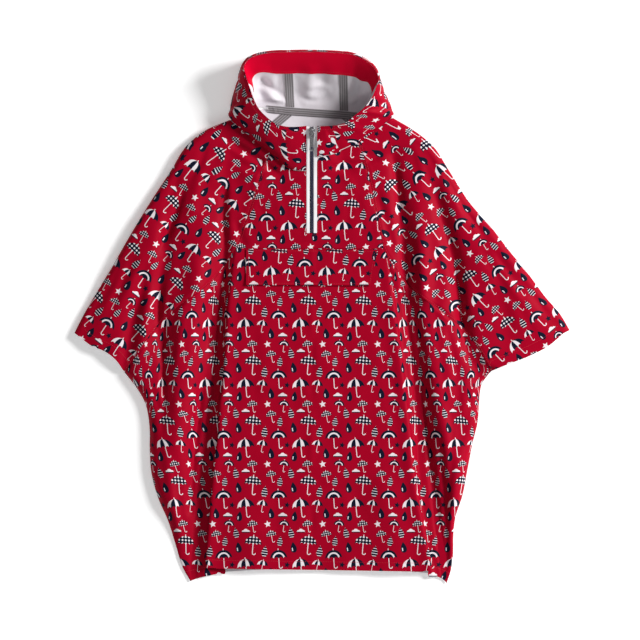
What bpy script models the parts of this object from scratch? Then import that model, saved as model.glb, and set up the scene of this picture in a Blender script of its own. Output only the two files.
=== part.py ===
"""A child's hooded half-zip rain poncho in thin coated cloth, laid flat on its back.

The garment lies on the ground, front upwards.  X runs across it, +Y runs towards the
hood, +Z is up and the ground is z = 0.  All tables and sizes below are in millimetres.
The front layer is a height over the ground, raised and lowered by a table of folds.
Two deep side pleats are folded back under the lower front.
"""
from collections import namedtuple

import bmesh
import bpy
import numpy as np

MM = 0.001

# Driving dimensions.
CLOTH = 1.2          # wall of the cloth
SEAM = 0.3           # space left at each seam
LOFT = 16.0          # height of the front layer over the ground, at the chest
HEM_LOFT = 10.0      # the same at the hem
NECK_LOFT = 17.0     # the same round the neck seam
CUFF_LOFT = 10.0     # the same at the cuffs
SIDE_ROLL = 11.0     # radius over which the front turns down to the side seams
NECK_LAP = 3.0       # how far the front reaches in under the hood's lower edge
HOOD_WALL = 1.7      # wall of the hood beside the zip
ZIP_X = -14.8        # middle of the zip
ZIP_WIDTH = 15.6     # slit in the cloth that the zip fills
ZIP_BOTTOM = 123.7   # foot of the zip
ZIP_TOP = 278.0      # top of the zip
ZIP_RISE = 17.0      # how much higher the top of the zip lies than its foot
COIL_WIDTH = 5.4     # closed coil between the tapes
TAPE_WALL = 0.9      # wall of the zip's tapes
TAPE_CLOTH = 0.5     # wall of the tapes over the hood's seams
SLIDER_Y = 270.0     # middle of the closed slider, and the pull tab's hinge
SLIDER_LIFT = 1.6    # underside of the slider over the zip's height
TAB_HINGE = 4.3      # hinge of the pull tab over the slider's underside
FLAP_TOP = (-110.0, 80.0)    # ends of the pocket flap's seam
FLAP_TAPER = 8.0     # how much shorter its free edge is
FLAP_DROP = 52.0     # pocket flap, from its seam to its free edge
SEAM_TAPE = 12.5     # width of the tapes over the hood's seams
FACING = 29.0        # band inside the brim

Fold = namedtuple("Fold", "name rise west east start end line")

# Soft folds of the front layer.  rise is the height of a ridge or, below zero, the
# depth of a valley; west and east are its widths to either side; start and end are
# the share of the rise at the ends of its line, which runs from the shoulder down.
FOLDS = (
    Fold("side_valley_w", -11.5, 15, 12, 0.25, 0.7,
         ((-146, 178), (-143, 82), (-157, 12), (-169, -90), (-178, -200), (-190, -385))),
    Fold("sleeve_valley_w", -6.5, 12, 11, 0.3, 0.3,
         ((-213, 186), (-226, 114), (-239, 27), (-235, -46), (-226, -95))),
    Fold("cuff_valley_w", -5.5, 11, 11, 0.2, 1.0,
         ((-249, 85), (-261, 41), (-273, -2), (-286, -70))),
    Fold("side_ridge_w", 7.0, 16, 14, 0.2, 0.4,
         ((-180, 150), (-184, 41), (-194, -60), (-207, -150), (-222, -262))),
    Fold("sleeve_ridge_w", 4.5, 11, 10, 0.1, 0.6,
         ((-226, 130), (-247, 60), (-256, -5), (-262, -60))),
    Fold("outer_ridge_w", 4.0, 18, 16, 0.5, 0.6,
         ((-215, 178), (-262, 85), (-308, 8), (-325, -30))),
    Fold("side_valley_low_w", -4.5, 9, 9, 0.3, 0.6,
         ((-243, -262), (-222, -300), (-200, -352))),
    Fold("shoulder_dip_w", -2.5, 16, 16, 0.4, 0.3,
         ((-150, 235), (-118, 180), (-121, 118))),
    Fold("side_valley_e", -11.0, 10, 13, 0.35, 0.7,
         ((104, 238), (111, 165), (121, 100), (127, 0), (139, -90), (157, -215), (181, -385))),
    Fold("sleeve_valley_e", -9.0, 10, 11, 0.3, 0.6,
         ((158, 222), (170, 165), (191, 85), (203, 0), (216, -48), (229, -88))),
    Fold("side_ridge_e", 8.0, 13, 13, 0.3, 0.3,
         ((140, 190), (146, 80), (148, 0), (160, -70), (176, -160), (196, -262))),
    Fold("outer_ridge_e", 4.5, 24, 24, 0.4, 0.7,
         ((200, 170), (238, 92), (286, 24), (322, -20))),
    Fold("outer_dip_e", -2.5, 14, 14, 0.2, 0.4,
         ((206, 190), (236, 110), (262, 30), (272, -40))),
    Fold("yoke_crease_e", -3.0, 8, 8, 0.3, 0.3,
         ((74, 196), (96, 130), (108, 84))),
    Fold("yoke_crease_w", -3.0, 7, 7, 0.2, 0.3,
         ((-128, 150), (-119, 122), (-112, 96))),
    Fold("hem_wave_w", 3.0, 26, 26, 0.0, 1.0,
         ((-110, -230), (-104, -300), (-100, -372))),
    Fold("hem_wave_e", 3.5, 28, 28, 0.0, 1.0,
         ((92, -210), (100, -290), (106, -372))),
    Fold("hem_dip", -2.0, 30, 30, 0.0, 1.0,
         ((-6, -240), (-4, -300), (-2, -372))),
)

Outline = namedtuple("Outline", "fold cuff side raglan back_raglan neck back_neck")

# Lines of each half, seen from above.  fold: top edge of the sleeve, from the neck to
# the cuff.  cuff: from that edge to the underarm.  side: from the underarm to the hem.
# raglan: seam from the neck to the underarm.  neck: lower edge of the hood.
WEST = Outline(
    fold=((-134.5, 288), (-170, 272.5), (-197, 250), (-219, 215), (-249, 169),
          (-277, 123), (-304, 76), (-325, 41), (-345, 7), (-359.4, -21)),
    cuff=((-359.4, -21), (-339, -36), (-316, -46), (-300, -59), (-287, -78)),
    side=((-287, -78), (-271, -98), (-257, -122), (-250.5, -156), (-250, -191),
          (-247.5, -225), (-238, -260), (-223, -295), (-212, -330), (-202, -362), (-191, -382)),
    raglan=((-74, 244.5), (-87, 213), (-100, 172), (-112, 137), (-125, 102),
            (-148, 69), (-173, 43), (-203, 22), (-232, -2), (-260, -38), (-287, -78)),
    back_raglan=((-86, 304.6), (-112, 225), (-142, 140), (-190, 60), (-240, -10), (-287, -78)),
    neck=((-22.6, 214), (-38, 214.5), (-52, 220), (-75, 241), (-96, 257), (-115, 273), (-134.5, 288)),
    back_neck=((-134.5, 288), (-104, 299), (-86, 304.6)),
)
EAST = Outline(
    fold=((103, 291), (133, 273), (161, 250), (184, 215), (215, 167),
          (245, 133), (271, 99), (299, 65), (325, 30), (345, 7), (359.4, -17)),
    cuff=((359.4, -17), (334, -38), (302, -54), (273, -65), (246, -76)),
    side=((246, -76), (232, -95), (228, -121), (226, -150), (219, -179),
          (211, -220), (203, -260), (194, -287), (190.5, -315), (190, -344), (186, -370), (181, -385)),
    raglan=((54, 257), (62, 230), (70, 200), (78, 160), (84, 128), (90, 101),
            (110, 68), (136, 38), (168, 15), (197, -8), (225, -38), (246, -76)),
    back_raglan=((62, 293.6), (88, 225), (112, 150), (152, 70), (200, 0), (246, -76)),
    neck=((-7.0, 234), (12, 237), (29, 243), (52, 254), (72, 269), (90, 281.5), (103, 291)),
    back_neck=((103, 291), (82, 292), (62, 293.6)),
)

Pleat = namedtuple("Pleat", "name side edge lap hem_top hem_low")

# The two side pleats of the lower front.  edge: the upper fold, at these y.  lap: how
# far the cloth runs back under that fold; below zero it is still an open step.
PLEATS = (
    Pleat("pleat_w", -1,
          ((102, -125), (70, -130.5), (12, -138), (-46, -141), (-104, -145), (-120, -149),
           (-170, -151), (-207, -157), (-259, -161.5), (-347, -168.5), (-375, -170)),
          ((102, -12), (60, -11), (12, -7), (-46, 0), (-104, 7), (-170, 14), (-260, 24), (-375, 30)),
          -362.0, -371.5),
    Pleat("pleat_e", 1,
          ((101, 90), (70, 97), (20, 106), (-46, 114), (-137, 126), (-170, 130),
           (-217, 134), (-276, 143), (-317, 152), (-375, 162)),
          ((101, -12), (-46, -12), (-110, -10), (-170, -6), (-276, 0), (-375, 8)),
          -366.5, -375.0),
)

HoodStation = namedtuple("HoodStation", "ox oy ground bx by bz fx fy fz bulge")

# Sections of the hood, from one side of the zip round the crown to the other side.
# o: its lower outer edge, on the neck seam or, where ground is 1, on the ground.
# b: the brim.  f: the inner end of the lining.  bulge: how far it swells outwards.
HOOD = (
    HoodStation(-22.6, 214, 0, -22.6, 278, 36.0, -22.6, 214, 18.0, 0.0),
    HoodStation(-38, 214.5, 0, -37, 276.5, 37.0, -38, 214.5, 18.0, 1.5),
    HoodStation(-52, 220, 0, -53, 277, 38.5, -52, 220, 18.0, 2.5),
    HoodStation(-75, 241, 0, -69, 282, 40.5, -74, 242, 18.0, 3.0),
    HoodStation(-96, 257, 0, -83, 293, 43.5, -91, 264, 20.0, 3.0),
    HoodStation(-115, 273, 0, -94, 305, 46, -103, 285, 9.0, 3.0),
    HoodStation(-134.5, 292.5, 0, -101, 319, 48.5, -104, 302, 3.0, 3.0),
    HoodStation(-133, 305, 1, -104.5, 330, 50, -98, 304.5, 1.6, 4.0),
    HoodStation(-130, 322, 1, -108, 340, 52, -92, 307, 1.6, 4.0),
    HoodStation(-123, 342, 1, -111.5, 352, 53.5, -86, 307.5, 1.6, 4.0),
    HoodStation(-115, 360, 1, -113.5, 366, 54, -79, 306.5, 1.6, 3.0),
    HoodStation(-101, 376, 1, -103, 378, 54.5, -70, 305, 1.6, 2.0),
    HoodStation(-78, 383, 1, -79, 384.5, 54.5, -58, 304, 1.6, 1.5),
    HoodStation(-50, 384.5, 1, -50, 386.2, 54.5, -46, 302.6, 1.6, 1.2),
    HoodStation(-12, 384.5, 1, -12, 386.4, 54.5, -10, 300, 1.6, 1.2),
    HoodStation(30, 383, 1, 30, 384.6, 54.5, 32, 297, 1.6, 1.2),
    HoodStation(52, 378, 1, 52, 379.5, 54.5, 43, 296, 1.6, 1.5),
    HoodStation(71, 364, 1, 73, 366, 54, 50, 295.7, 1.6, 2.5),
    HoodStation(81, 347, 1, 82, 350, 53, 55, 295.5, 1.6, 3.5),
    HoodStation(89, 330, 1, 80, 337, 51, 59, 295.3, 1.6, 4.0),
    HoodStation(97, 315, 1, 74, 321, 49, 63, 295.2, 1.6, 4.0),
    HoodStation(101, 303.5, 1, 66, 309, 47, 67, 295, 1.6, 4.0),
    HoodStation(103, 294.5, 0, 58, 301, 45, 71, 293, 3.0, 3.0),
    HoodStation(90, 281.5, 0, 48, 293, 43, 76, 286, 9.0, 3.0),
    HoodStation(72, 269, 0, 37, 284, 41, 66, 273, 20.0, 3.0),
    HoodStation(52, 254, 0, 24, 279.5, 39, 51, 255, 18.0, 2.5),
    HoodStation(29, 243, 0, 10, 278, 37.5, 29, 243, 18.0, 2.0),
    HoodStation(12, 237, 0, 1, 277.6, 36.5, 12, 237, 18.0, 1.0),
    HoodStation(-7.0, 234, 0, -7.0, 278, 36.0, -7.0, 234, 18.0, 0.0),
)
HOOD_CUTS = (13, 15)     # stations where the hood's three pieces meet
HOOD_SEAM = 0.005        # half the space at those cuts, as a share of a station

Finish = namedtuple("Finish", "name color roughness metallic")
RED = Finish("printed_red_cloth", (0.50, 0.004, 0.020), 0.55, 0.0)
RED_PLAIN = Finish("plain_red_cloth", (0.52, 0.003, 0.018), 0.55, 0.0)
GREY_TAPE = Finish("grey_seam_tape", (0.28, 0.27, 0.29), 0.5, 0.0)
WHITE_TAPE = Finish("white_zip_tape", (0.75, 0.74, 0.76), 0.7, 0.0)
NAVY = Finish("navy_zip_coil", (0.010, 0.012, 0.035), 0.45, 0.0)
METAL = Finish("silver_metal", (0.55, 0.55, 0.56), 0.3, 1.0)


def ramp(t):
    """Go smoothly from 0 to 1 as t does."""
    t = np.clip(t, 0.0, 1.0)
    return t * t * (3.0 - 2.0 * t)


class Path:
    """A smooth line through the points of a table, run by its length."""

    def __init__(self, points, steps=16):
        pts = np.array(points, dtype=float)
        gaps = np.linalg.norm(np.diff(pts, axis=0), axis=1)
        knots = np.concatenate([[0.0], np.cumsum(gaps)])
        slope = np.gradient(pts, knots, axis=0)
        dense = []
        for i, gap in enumerate(gaps):
            t = np.linspace(0.0, 1.0, steps, endpoint=(i == len(gaps) - 1))[:, None]
            a, b = pts[i], pts[i + 1]
            dense.append((2 * t**3 - 3 * t**2 + 1) * a + (t**3 - 2 * t**2 + t) * gap * slope[i]
                         + (3 * t**2 - 2 * t**3) * b + (t**3 - t**2) * gap * slope[i + 1])
        self.points = np.concatenate(dense)
        run = np.linalg.norm(np.diff(self.points, axis=0), axis=1)
        self.length = np.concatenate([[0.0], np.cumsum(run)])
        self.share = self.length / self.length[-1]
        pick = np.unique(np.append(np.arange(0, len(self.points), 4), len(self.points) - 1))
        self.coarse = (self.points[pick], self.share[pick])

    def at(self, share):
        """Points at these shares of the length."""
        return np.stack([np.interp(share, self.share, c) for c in self.points.T], axis=-1)

    def x_at(self, y):
        """x where the line crosses these y, for a line that runs down."""
        return np.interp(-np.asarray(y), -self.points[:, 1], self.points[:, 0])

    def y_at(self, x):
        """y where the line crosses these x, for a line that runs sideways."""
        order = np.argsort(self.points[:, 0])
        return np.interp(x, self.points[order, 0], self.points[order, 1])

    def share_at_y(self, y):
        """Share of the length where the line crosses these y, for a line that runs down."""
        return np.interp(-np.asarray(y), -self.points[:, 1], self.share)


def nearest(line, x, y):
    """Distance to a line, its side from -1 west to 1 east of a line that runs down, share."""
    pts, shares = line.coarse
    d = np.diff(pts, axis=0)
    long = (d ** 2).sum(axis=1)
    vx = x[..., None] - pts[:-1, 0]
    vy = y[..., None] - pts[:-1, 1]
    t = np.clip((vx * d[:, 0] + vy * d[:, 1]) / long, 0.0, 1.0)
    far = np.hypot(vx - t * d[:, 0], vy - t * d[:, 1])
    k = np.argmin(far, axis=-1)[..., None]
    dist = np.take_along_axis(far, k, -1)[..., 0]
    across = np.take_along_axis(d[:, 0] * vy - d[:, 1] * vx, k, -1)[..., 0] / np.sqrt(long[k[..., 0]])
    share = shares[k[..., 0]] + np.take_along_axis(t, k, -1)[..., 0] * np.diff(shares)[k[..., 0]]
    return dist, np.clip(across / np.maximum(dist, 1e-6), -1.0, 1.0), share


FOLD_PATHS = [Path(fold.line) for fold in FOLDS]
PATHS = {
    "w": Outline(*[Path(line) for line in WEST]),
    "e": Outline(*[Path(line) for line in EAST]),
}
PLEAT_EDGES = [np.array(pleat.edge, dtype=float) for pleat in PLEATS]
PLEAT_LAPS = [np.array(pleat.lap, dtype=float) for pleat in PLEATS]


def zip_height(y):
    """Height of the zip's tapes over the ground."""
    return NECK_LOFT + ZIP_RISE * ramp((np.asarray(y, dtype=float) - 196.0) / 96.0)


def base_height(x, y):
    """Height of the front layer with no folds in it."""
    z = LOFT + (HEM_LOFT - LOFT) * ramp((-y - 210.0) / 160.0)
    z = z + (CUFF_LOFT - LOFT) * ramp((np.abs(x) - 270.0) / 80.0)
    return z


def front_height(x, y):
    """Height of the middle of the front layer's wall over the ground."""
    x = np.asarray(x, dtype=float)
    y = np.asarray(y, dtype=float)
    z = base_height(x, y)
    for fold, path in zip(FOLDS, FOLD_PATHS):
        dist, side, share = nearest(path, x, y)
        width = fold.west + (fold.east - fold.west) * (0.5 + 0.5 * side)
        fade = fold.start + (1 - fold.start) * ramp(share / 0.3)
        fade = fade * (fold.end + (1 - fold.end) * ramp((1 - share) / 0.3))
        z = z + fold.rise * fade * np.exp(-(dist / width) ** 2)
    z = 3.6 + (z - 3.6) * (z > 3.6) + np.where(z < 3.6, 0.25 * (z - 3.6), 0.0)
    for half in ("w", "e"):
        dist, _, _ = nearest(PATHS[half].neck, x, y)
        z = NECK_LOFT + (z - NECK_LOFT) * ramp((dist - 3.0) / 26.0)
    near_zip = ramp((46.0 - np.abs(x - ZIP_X)) / 30.0) * ramp((y - 90.0) / 40.0)
    z = z + (zip_height(y) - z) * near_zip
    for half in ("w", "e"):
        dist, _, _ = nearest(PATHS[half].side, x, y)
        turn = np.sqrt(1.0 - (1.0 - np.clip(dist / SIDE_ROLL, 0.0, 1.0)) ** 2)
        z = 1.65 + (z - 1.65) * turn
    return z


def field_normals(x, y):
    """Upward normals of the front layer at these points."""
    step = 0.5
    dx = (front_height(x + step, y) - front_height(x - step, y)) / (2 * step)
    dy = (front_height(x, y + step) - front_height(x, y - step)) / (2 * step)
    n = np.stack([-dx, -dy, np.ones_like(dx)], axis=-1)
    return n / np.linalg.norm(n, axis=-1, keepdims=True)


def grid_normals(grid):
    """Normals of a grid of points, from the lines that cross at each."""
    du = np.gradient(grid, axis=0)
    dv = np.gradient(grid, axis=1)
    n = np.cross(du, dv)
    return n / np.maximum(np.linalg.norm(n, axis=-1, keepdims=True), 1e-9)


def set_finish(obj, finish):
    """Give an object its own plain material."""
    material = bpy.data.materials.new(obj.name + "_" + finish.name)
    material.use_nodes = True
    shader = material.node_tree.nodes["Principled BSDF"]
    shader.inputs["Base Color"].default_value = (*finish.color, 1.0)
    shader.inputs["Roughness"].default_value = finish.roughness
    shader.inputs["Metallic"].default_value = finish.metallic
    obj.data.materials.append(material)


def body_from(name, verts, faces, finish, origin=(0.0, 0.0, 0.0), angle=55.0):
    """Make one named object from points in millimetres, with its faces pointing out."""
    bm = bmesh.new()
    shift = np.array(origin, dtype=float)
    made = [bm.verts.new((np.asarray(v, dtype=float) - shift) * MM) for v in verts]
    for face in faces:
        bm.faces.new([made[i] for i in face])
    bmesh.ops.recalc_face_normals(bm, faces=bm.faces)
    mesh = bpy.data.meshes.new(name)
    bm.to_mesh(mesh)
    bm.free()
    mesh.shade_smooth()
    mesh.set_sharp_from_angle(angle=np.radians(angle))
    obj = bpy.data.objects.new(name, mesh)
    obj.location = shift * MM
    bpy.context.scene.collection.objects.link(obj)
    set_finish(obj, finish)
    return obj


def split_quad(ring, first):
    """Two triangles of a four-cornered cell, cut from its first or its second corner."""
    a, b, c, d = ring
    return [[a, b, c], [a, c, d]] if first else [[b, c, d], [b, d, a]]


def wall(name, grid, normals, wall_size, finish, keep=None, low=None, first=None, angle=55.0):
    """Thicken a grid of points into one closed wall.  keep says which cells there are.

    Both skins of the wall are cut into triangles the same way: along the shorter
    diagonal of each cell, or all from the corner that first tells.
    """
    rows, cols = grid.shape[:2]
    keep = np.ones((rows - 1, cols - 1), dtype=bool) if keep is None else keep
    top = grid + normals * wall_size / 2
    bottom = grid - normals * wall_size / 2
    if low is not None:
        up = normals[..., 2] > 0.0
        bottom[..., 2] = np.maximum(bottom[..., 2], np.where(up, low, low + 0.02))
        top[..., 2] = np.maximum(top[..., 2], np.where(up, low + 0.02, low))
    used = np.zeros((rows, cols), dtype=bool)
    for i, j in zip(*np.nonzero(keep)):
        used[i:i + 2, j:j + 2] = True
    index = -np.ones((rows, cols), dtype=int)
    index[used] = np.arange(used.sum())
    count = int(used.sum())
    verts = list(top[used]) + list(bottom[used])
    faces = []
    edges = {}
    for i, j in zip(*np.nonzero(keep)):
        ring = [index[i, j], index[i, j + 1], index[i + 1, j + 1], index[i + 1, j]]
        one = np.linalg.norm(grid[i, j] - grid[i + 1, j + 1])
        two = np.linalg.norm(grid[i, j + 1] - grid[i + 1, j])
        for face in split_quad(ring, one <= two if first is None else first):
            faces.append(face)
            faces.append([k + count for k in reversed(face)])
        for a, b in zip(ring, ring[1:] + ring[:1]):
            if (b, a) in edges:
                del edges[(b, a)]
            else:
                edges[(a, b)] = True
    for a, b in edges:
        faces.append([b, a, a + count, b + count])
    return body_from(name, verts, faces, finish, angle=angle)


def tuck(points, distance):
    """Move a line of seam points sideways in plan, to its left."""
    step = np.gradient(points[:, :2], axis=0)
    step = step / np.linalg.norm(step, axis=1, keepdims=True)
    moved = points.copy()
    moved[:, 0] -= step[:, 1] * distance
    moved[:, 1] += step[:, 0] * distance
    return moved


def patch(left, right, lower, upper):
    """Fill in plan the four lines round a patch.  Rows run from lower to upper."""
    rows, cols = len(left), len(lower)
    u = np.linspace(0.0, 1.0, cols)[None, :, None]
    v = np.linspace(0.0, 1.0, rows)[:, None, None]
    across = (1 - u) * left[:, None, :] + u * right[:, None, :]
    along = (1 - v) * lower[None, :, :] + v * upper[None, :, :]
    corners = ((1 - u) * (1 - v) * left[0] + u * (1 - v) * right[0]
               + (1 - u) * v * left[-1] + u * v * right[-1])
    return across + along - corners


# ---------------------------------------------------------------- lower front

def pleat_offsets(lap):
    """Offsets from the pleat's upper fold, from the side towards the middle."""
    fold = np.clip(lap / 8.0, -1.0, 1.0)
    return [lap - 14.0, lap - 4.0, lap - 1.0, lap, lap - fold, lap - 4.0 * fold,
            4.0 * fold, fold, 0.0 * lap, 1.0 + 0.0 * lap, 4.0 + 0.0 * lap, 12.0 + 0.0 * lap]


# Share of the way from the low layer to the top layer at each of those offsets.
PLEAT_LEVELS = (0.0, 0.0, 0.07, 0.24, 0.40, 0.47, 0.53, 0.60, 0.76, 0.93, 1.0, 1.0)
VALLEY_FOLDS = (0, 8)
PLEAT_FORMING = 62.0
TOP_ROW = 101.5      # the lower front's rows are level between its top and its hem
LOW_ROW = -372.0
ROWS_LEVEL = 0.6
SIDE_CROWD = 1.3     # crowds the columns near the side seams, where the cloth turns down


def pleat_line(which, index, y):
    """x of one line of a pleat at these y."""
    edge, lap = PLEAT_EDGES[which], PLEAT_LAPS[which]
    side = PLEATS[which].side
    x = np.interp(-y, -edge[:, 0], edge[:, 1])
    reach = pleat_offsets(np.interp(-y, -lap[:, 0], lap[:, 1]))[index]
    return x - side * reach


def pleat_point(which, index, y, top_y):
    """x and z of one line of a pleat at these y, under a seam at top_y."""
    x = pleat_line(which, index, y)
    low = low_height(which, x, y, y + PLEAT_FORMING)
    top = front_height(pleat_line(which, 11, y), y)
    level = low + PLEAT_LEVELS[index] * (top - low)
    plain = front_height(x, y)
    formed = ramp((top_y - y) / PLEAT_FORMING)
    return x, plain + formed * (level - plain)


def low_height(which, x, y, top_y):
    """Height of the cloth between the side seam and the pleat."""
    z = front_height(x, y)
    valley = FOLD_PATHS[VALLEY_FOLDS[which]].x_at(y)
    side = PLEATS[which].side
    under = (valley - x) * side > 0
    low = front_height(valley, y)
    formed = ramp((top_y - y) / PLEAT_FORMING)
    return np.where(under, z + formed * (low - z), z)


def seam_line():
    """Top edge of the lower front: up one raglan seam, along the pocket seam, down."""
    west = PATHS["w"].raglan
    east = PATHS["e"].raglan
    cut_w = west.share_at_y(102.0)
    cut_e = east.share_at_y(101.0)
    up = west.at(np.linspace(1.0, cut_w, 120))
    down = east.at(np.linspace(cut_e, 1.0, 120))
    along = np.linspace(up[-1], down[0], 80)[1:-1]
    return np.concatenate([up, along, down])


def column_lines(count_w, count_m, count_e):
    """The lines that the lower front's columns follow, from west to east."""
    lines = []
    for f in np.linspace(0.0, 1.0, count_w + 1)[:-1]:
        lines.append(("w", f))
    lines += [("pw", i) for i in range(12)]
    for f in np.linspace(0.0, 1.0, count_m + 2)[1:-1]:
        lines.append(("m", f))
    lines += [("pe", i) for i in range(11, -1, -1)]
    for f in np.linspace(1.0, 0.0, count_e + 1)[1:]:
        lines.append(("e", f))
    return lines


def column_x(line, y):
    """x of a column of the lower front at these y."""
    kind, f = line
    if kind == "pw":
        return pleat_line(0, f, y)
    if kind == "pe":
        return pleat_line(1, f, y)
    if kind == "m":
        a, b = pleat_line(0, 11, y), pleat_line(1, 11, y)
        return a + f * (b - a)
    a = PATHS[kind].side.x_at(y)
    b = pleat_line(0 if kind == "w" else 1, 0, y)
    return a + f ** SIDE_CROWD * (b - a)


def column_xz(line, y, top_y):
    """x and z of a column of the lower front at these y."""
    kind, f = line
    if kind in ("pw", "pe"):
        return pleat_point(0 if kind == "pw" else 1, f, y, top_y)
    x = column_x(line, y)
    if kind == "m":
        return x, front_height(x, y)
    return x, low_height(0 if kind == "w" else 1, x, y, top_y)


def hem_y(line):
    """y of the hem at a column."""
    kind, f = line
    west, east = PLEATS
    if kind == "pw":
        return west.hem_low + (west.hem_top - west.hem_low) * PLEAT_LEVELS[f]
    if kind == "pe":
        return east.hem_low + (east.hem_top - east.hem_low) * PLEAT_LEVELS[f]
    if kind == "m":
        return west.hem_top - 1.0 + f * (east.hem_top - west.hem_top) * 1.0
    if kind == "w":
        return WEST.side[-1][1] + f * (west.hem_low - WEST.side[-1][1])
    return EAST.side[-1][1] + f * (east.hem_low - EAST.side[-1][1])


def column_top(line, seam):
    """Where a column meets the top edge of the lower front."""
    kind = line[0]
    if kind in ("w", "e") and line[1] == 0.0:
        return PATHS[kind].raglan.points[-1]
    gap = seam[:, 0] - column_x(line, seam[:, 1])
    k = np.nonzero(np.sign(gap[:-1]) != np.sign(gap[1:]))[0][0]
    t = gap[k] / (gap[k] - gap[k + 1])
    return seam[k] + t * (seam[k + 1] - seam[k])


def lower_front(count_w, count_m, count_e, rows):
    """Grid of the lower front, its column tops on the seam, and their kinds."""
    seam = seam_line()
    lines = column_lines(count_w, count_m, count_e)
    tops = np.array([column_top(line, seam) for line in lines])
    moved = tuck(tops, -SEAM / 2)
    grid = np.zeros((rows, len(lines), 3))
    v = np.linspace(0.0, 1.0, rows)
    for j, line in enumerate(lines):
        y = TOP_ROW + (LOW_ROW - TOP_ROW) * v
        y += (moved[j, 1] - TOP_ROW) * np.clip(1.0 - v / ROWS_LEVEL, 0.0, 1.0)
        y += (hem_y(line) - LOW_ROW) * np.clip((v - ROWS_LEVEL) / (1.0 - ROWS_LEVEL), 0.0, 1.0)
        x, z = column_xz(line, y, moved[j, 1])
        shift = (moved[j, 0] - x[0]) * ramp(1.0 - np.arange(rows) / 2.0)
        grid[:, j, 0] = x + shift
        grid[:, j, 1] = y
        grid[:, j, 2] = z
    return grid, tops, lines


# ---------------------------------------------------------------- sleeves

ROLL = {"w": 8.0, "e": 10.0}     # how far the roll at the top fold reaches in


def sleeve(half, shares, count_front, count_roll, count_back):
    """Grid and normals of one sleeve: raglan seam, front, top fold, back on the ground."""
    paths = PATHS[half]
    turn = 1.0 if half == "w" else -1.0
    front_seam = tuck(paths.raglan.at(shares), -turn * SEAM / 2)
    run = back_shares(shares)
    fold = paths.fold.at(run)
    back_seam = tuck(paths.back_raglan.at(run), -turn * SEAM / 2)
    t = np.linspace(0.0, 1.0, count_front)
    cuff = paths.cuff.at(1.0 - t)
    neck_x = front_seam[0, 0] + t * (fold[0, 0] - front_seam[0, 0])
    lap = NECK_LAP * ramp((1.0 - t) / 0.5)
    neck = np.stack([neck_x, paths.neck.y_at(neck_x) + lap], axis=-1)
    neck[0], neck[-1] = front_seam[0], fold[0]
    cuff[0], cuff[-1] = front_seam[-1], fold[-1]
    front = patch(front_seam, fold, neck, cuff)
    tb = np.linspace(0.0, 1.0, count_back)
    back_neck = paths.back_neck.at(1.0 - tb)
    back_cuff = paths.cuff.at(1.0 - tb)
    back_neck[0], back_neck[-1] = back_seam[0], fold[0]
    back_cuff[0], back_cuff[-1] = back_seam[-1], fold[-1]
    back = patch(back_seam, fold, back_neck, back_cuff)
    rows = []
    outward = []
    reach = ROLL[half]
    ground = CLOTH / 2
    for i in range(len(shares)):
        out = fold[i] - front_seam[i]
        out = out / np.linalg.norm(out)
        out_b = fold[i] - back_seam[i]
        out_b = out_b / np.linalg.norm(out_b)
        line = front[i] * 1.0
        total = np.linalg.norm(fold[i] - front_seam[i])
        squeeze = (total - reach) / total
        line = front_seam[i] + (line - front_seam[i]) * squeeze
        z = front_height(line[:, 0], line[:, 1])
        top = z[-1]
        section = [np.column_stack([line, z])]
        middle = (top + ground) / 2
        tall = (top - ground) / 2
        turned = []
        for angle in np.linspace(90.0, -90.0, count_roll + 2)[1:-1]:
            c, s = np.cos(np.radians(angle)), np.sin(np.radians(angle))
            lean = (1 - s) / 2
            way = out * (1 - lean) + out_b * lean
            spot = fold[i] - way * reach * (1 - c)
            section.append([[spot[0], spot[1], middle + tall * s]])
            facing = np.array([way[0] * c / reach, way[1] * c / reach, s / tall])
            turned.append(facing / np.linalg.norm(facing))
        under = back[i][::-1]
        total_b = np.linalg.norm(fold[i] - back_seam[i])
        under = back_seam[i] + (under - back_seam[i]) * (total_b - reach) / total_b
        section.append(np.column_stack([under, np.full(len(under), ground)]))
        rows.append(np.concatenate(section))
        outward.append(turned)
    grid = np.array(rows)
    n = grid_normals(grid)
    if n[len(n) // 2, 2, 2] < 0:
        n = -n
    n[:, 0] = field_normals(front_seam[:, 0], front_seam[:, 1])
    n[:, count_front:count_front + count_roll] = np.array(outward)
    n[:, count_front + count_roll:] = (0.0, 0.0, -1.0)
    return grid, n


# ---------------------------------------------------------------- yoke, flap, back

def yoke(shares_w, shares_e, count_w, count_e, foot_row):
    """Grid of the front yoke, with the row where the zip's slit starts."""
    half_slit = ZIP_WIDTH / 2
    rows = len(shares_w)
    west = tuck(PATHS["w"].raglan.at(shares_w), SEAM / 2)[::-1]
    east = tuck(PATHS["e"].raglan.at(shares_e), -SEAM / 2)[::-1]
    west[0, 1] += SEAM / 2
    east[0, 1] += SEAM / 2
    slit_w = np.zeros((rows, 2))
    slit_e = np.zeros((rows, 2))
    v = np.arange(rows)
    foot = 0.5 * (west[0, 1] + east[0, 1])
    for slit, x, top in ((slit_w, ZIP_X - half_slit, WEST.neck[0][1] + NECK_LAP),
                         (slit_e, ZIP_X + half_slit, EAST.neck[0][1] + NECK_LAP)):
        slit[:, 0] = x
        slit[:, 1] = np.interp(v, [0, foot_row, rows - 1], [foot, ZIP_BOTTOM, top])

    def edge(a, b, count, half):
        x = np.linspace(a[0], b[0], count)
        y = PATHS[half].neck.y_at(x) + NECK_LAP
        line = np.column_stack([x, y])
        line[0], line[-1] = a, b
        return line

    bottom_w = np.linspace(west[0], slit_w[0], count_w)
    bottom_e = np.linspace(slit_e[0], east[0], count_e)
    left = patch(west, slit_w, bottom_w, edge(west[-1], slit_w[-1], count_w, "w"))
    right = patch(slit_e, east, bottom_e, edge(slit_e[-1], east[-1], count_e, "e"))
    plan = np.concatenate([left, right], axis=1)
    z = front_height(plan[..., 0], plan[..., 1])
    return np.concatenate([plan, z[..., None]], axis=-1)


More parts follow.
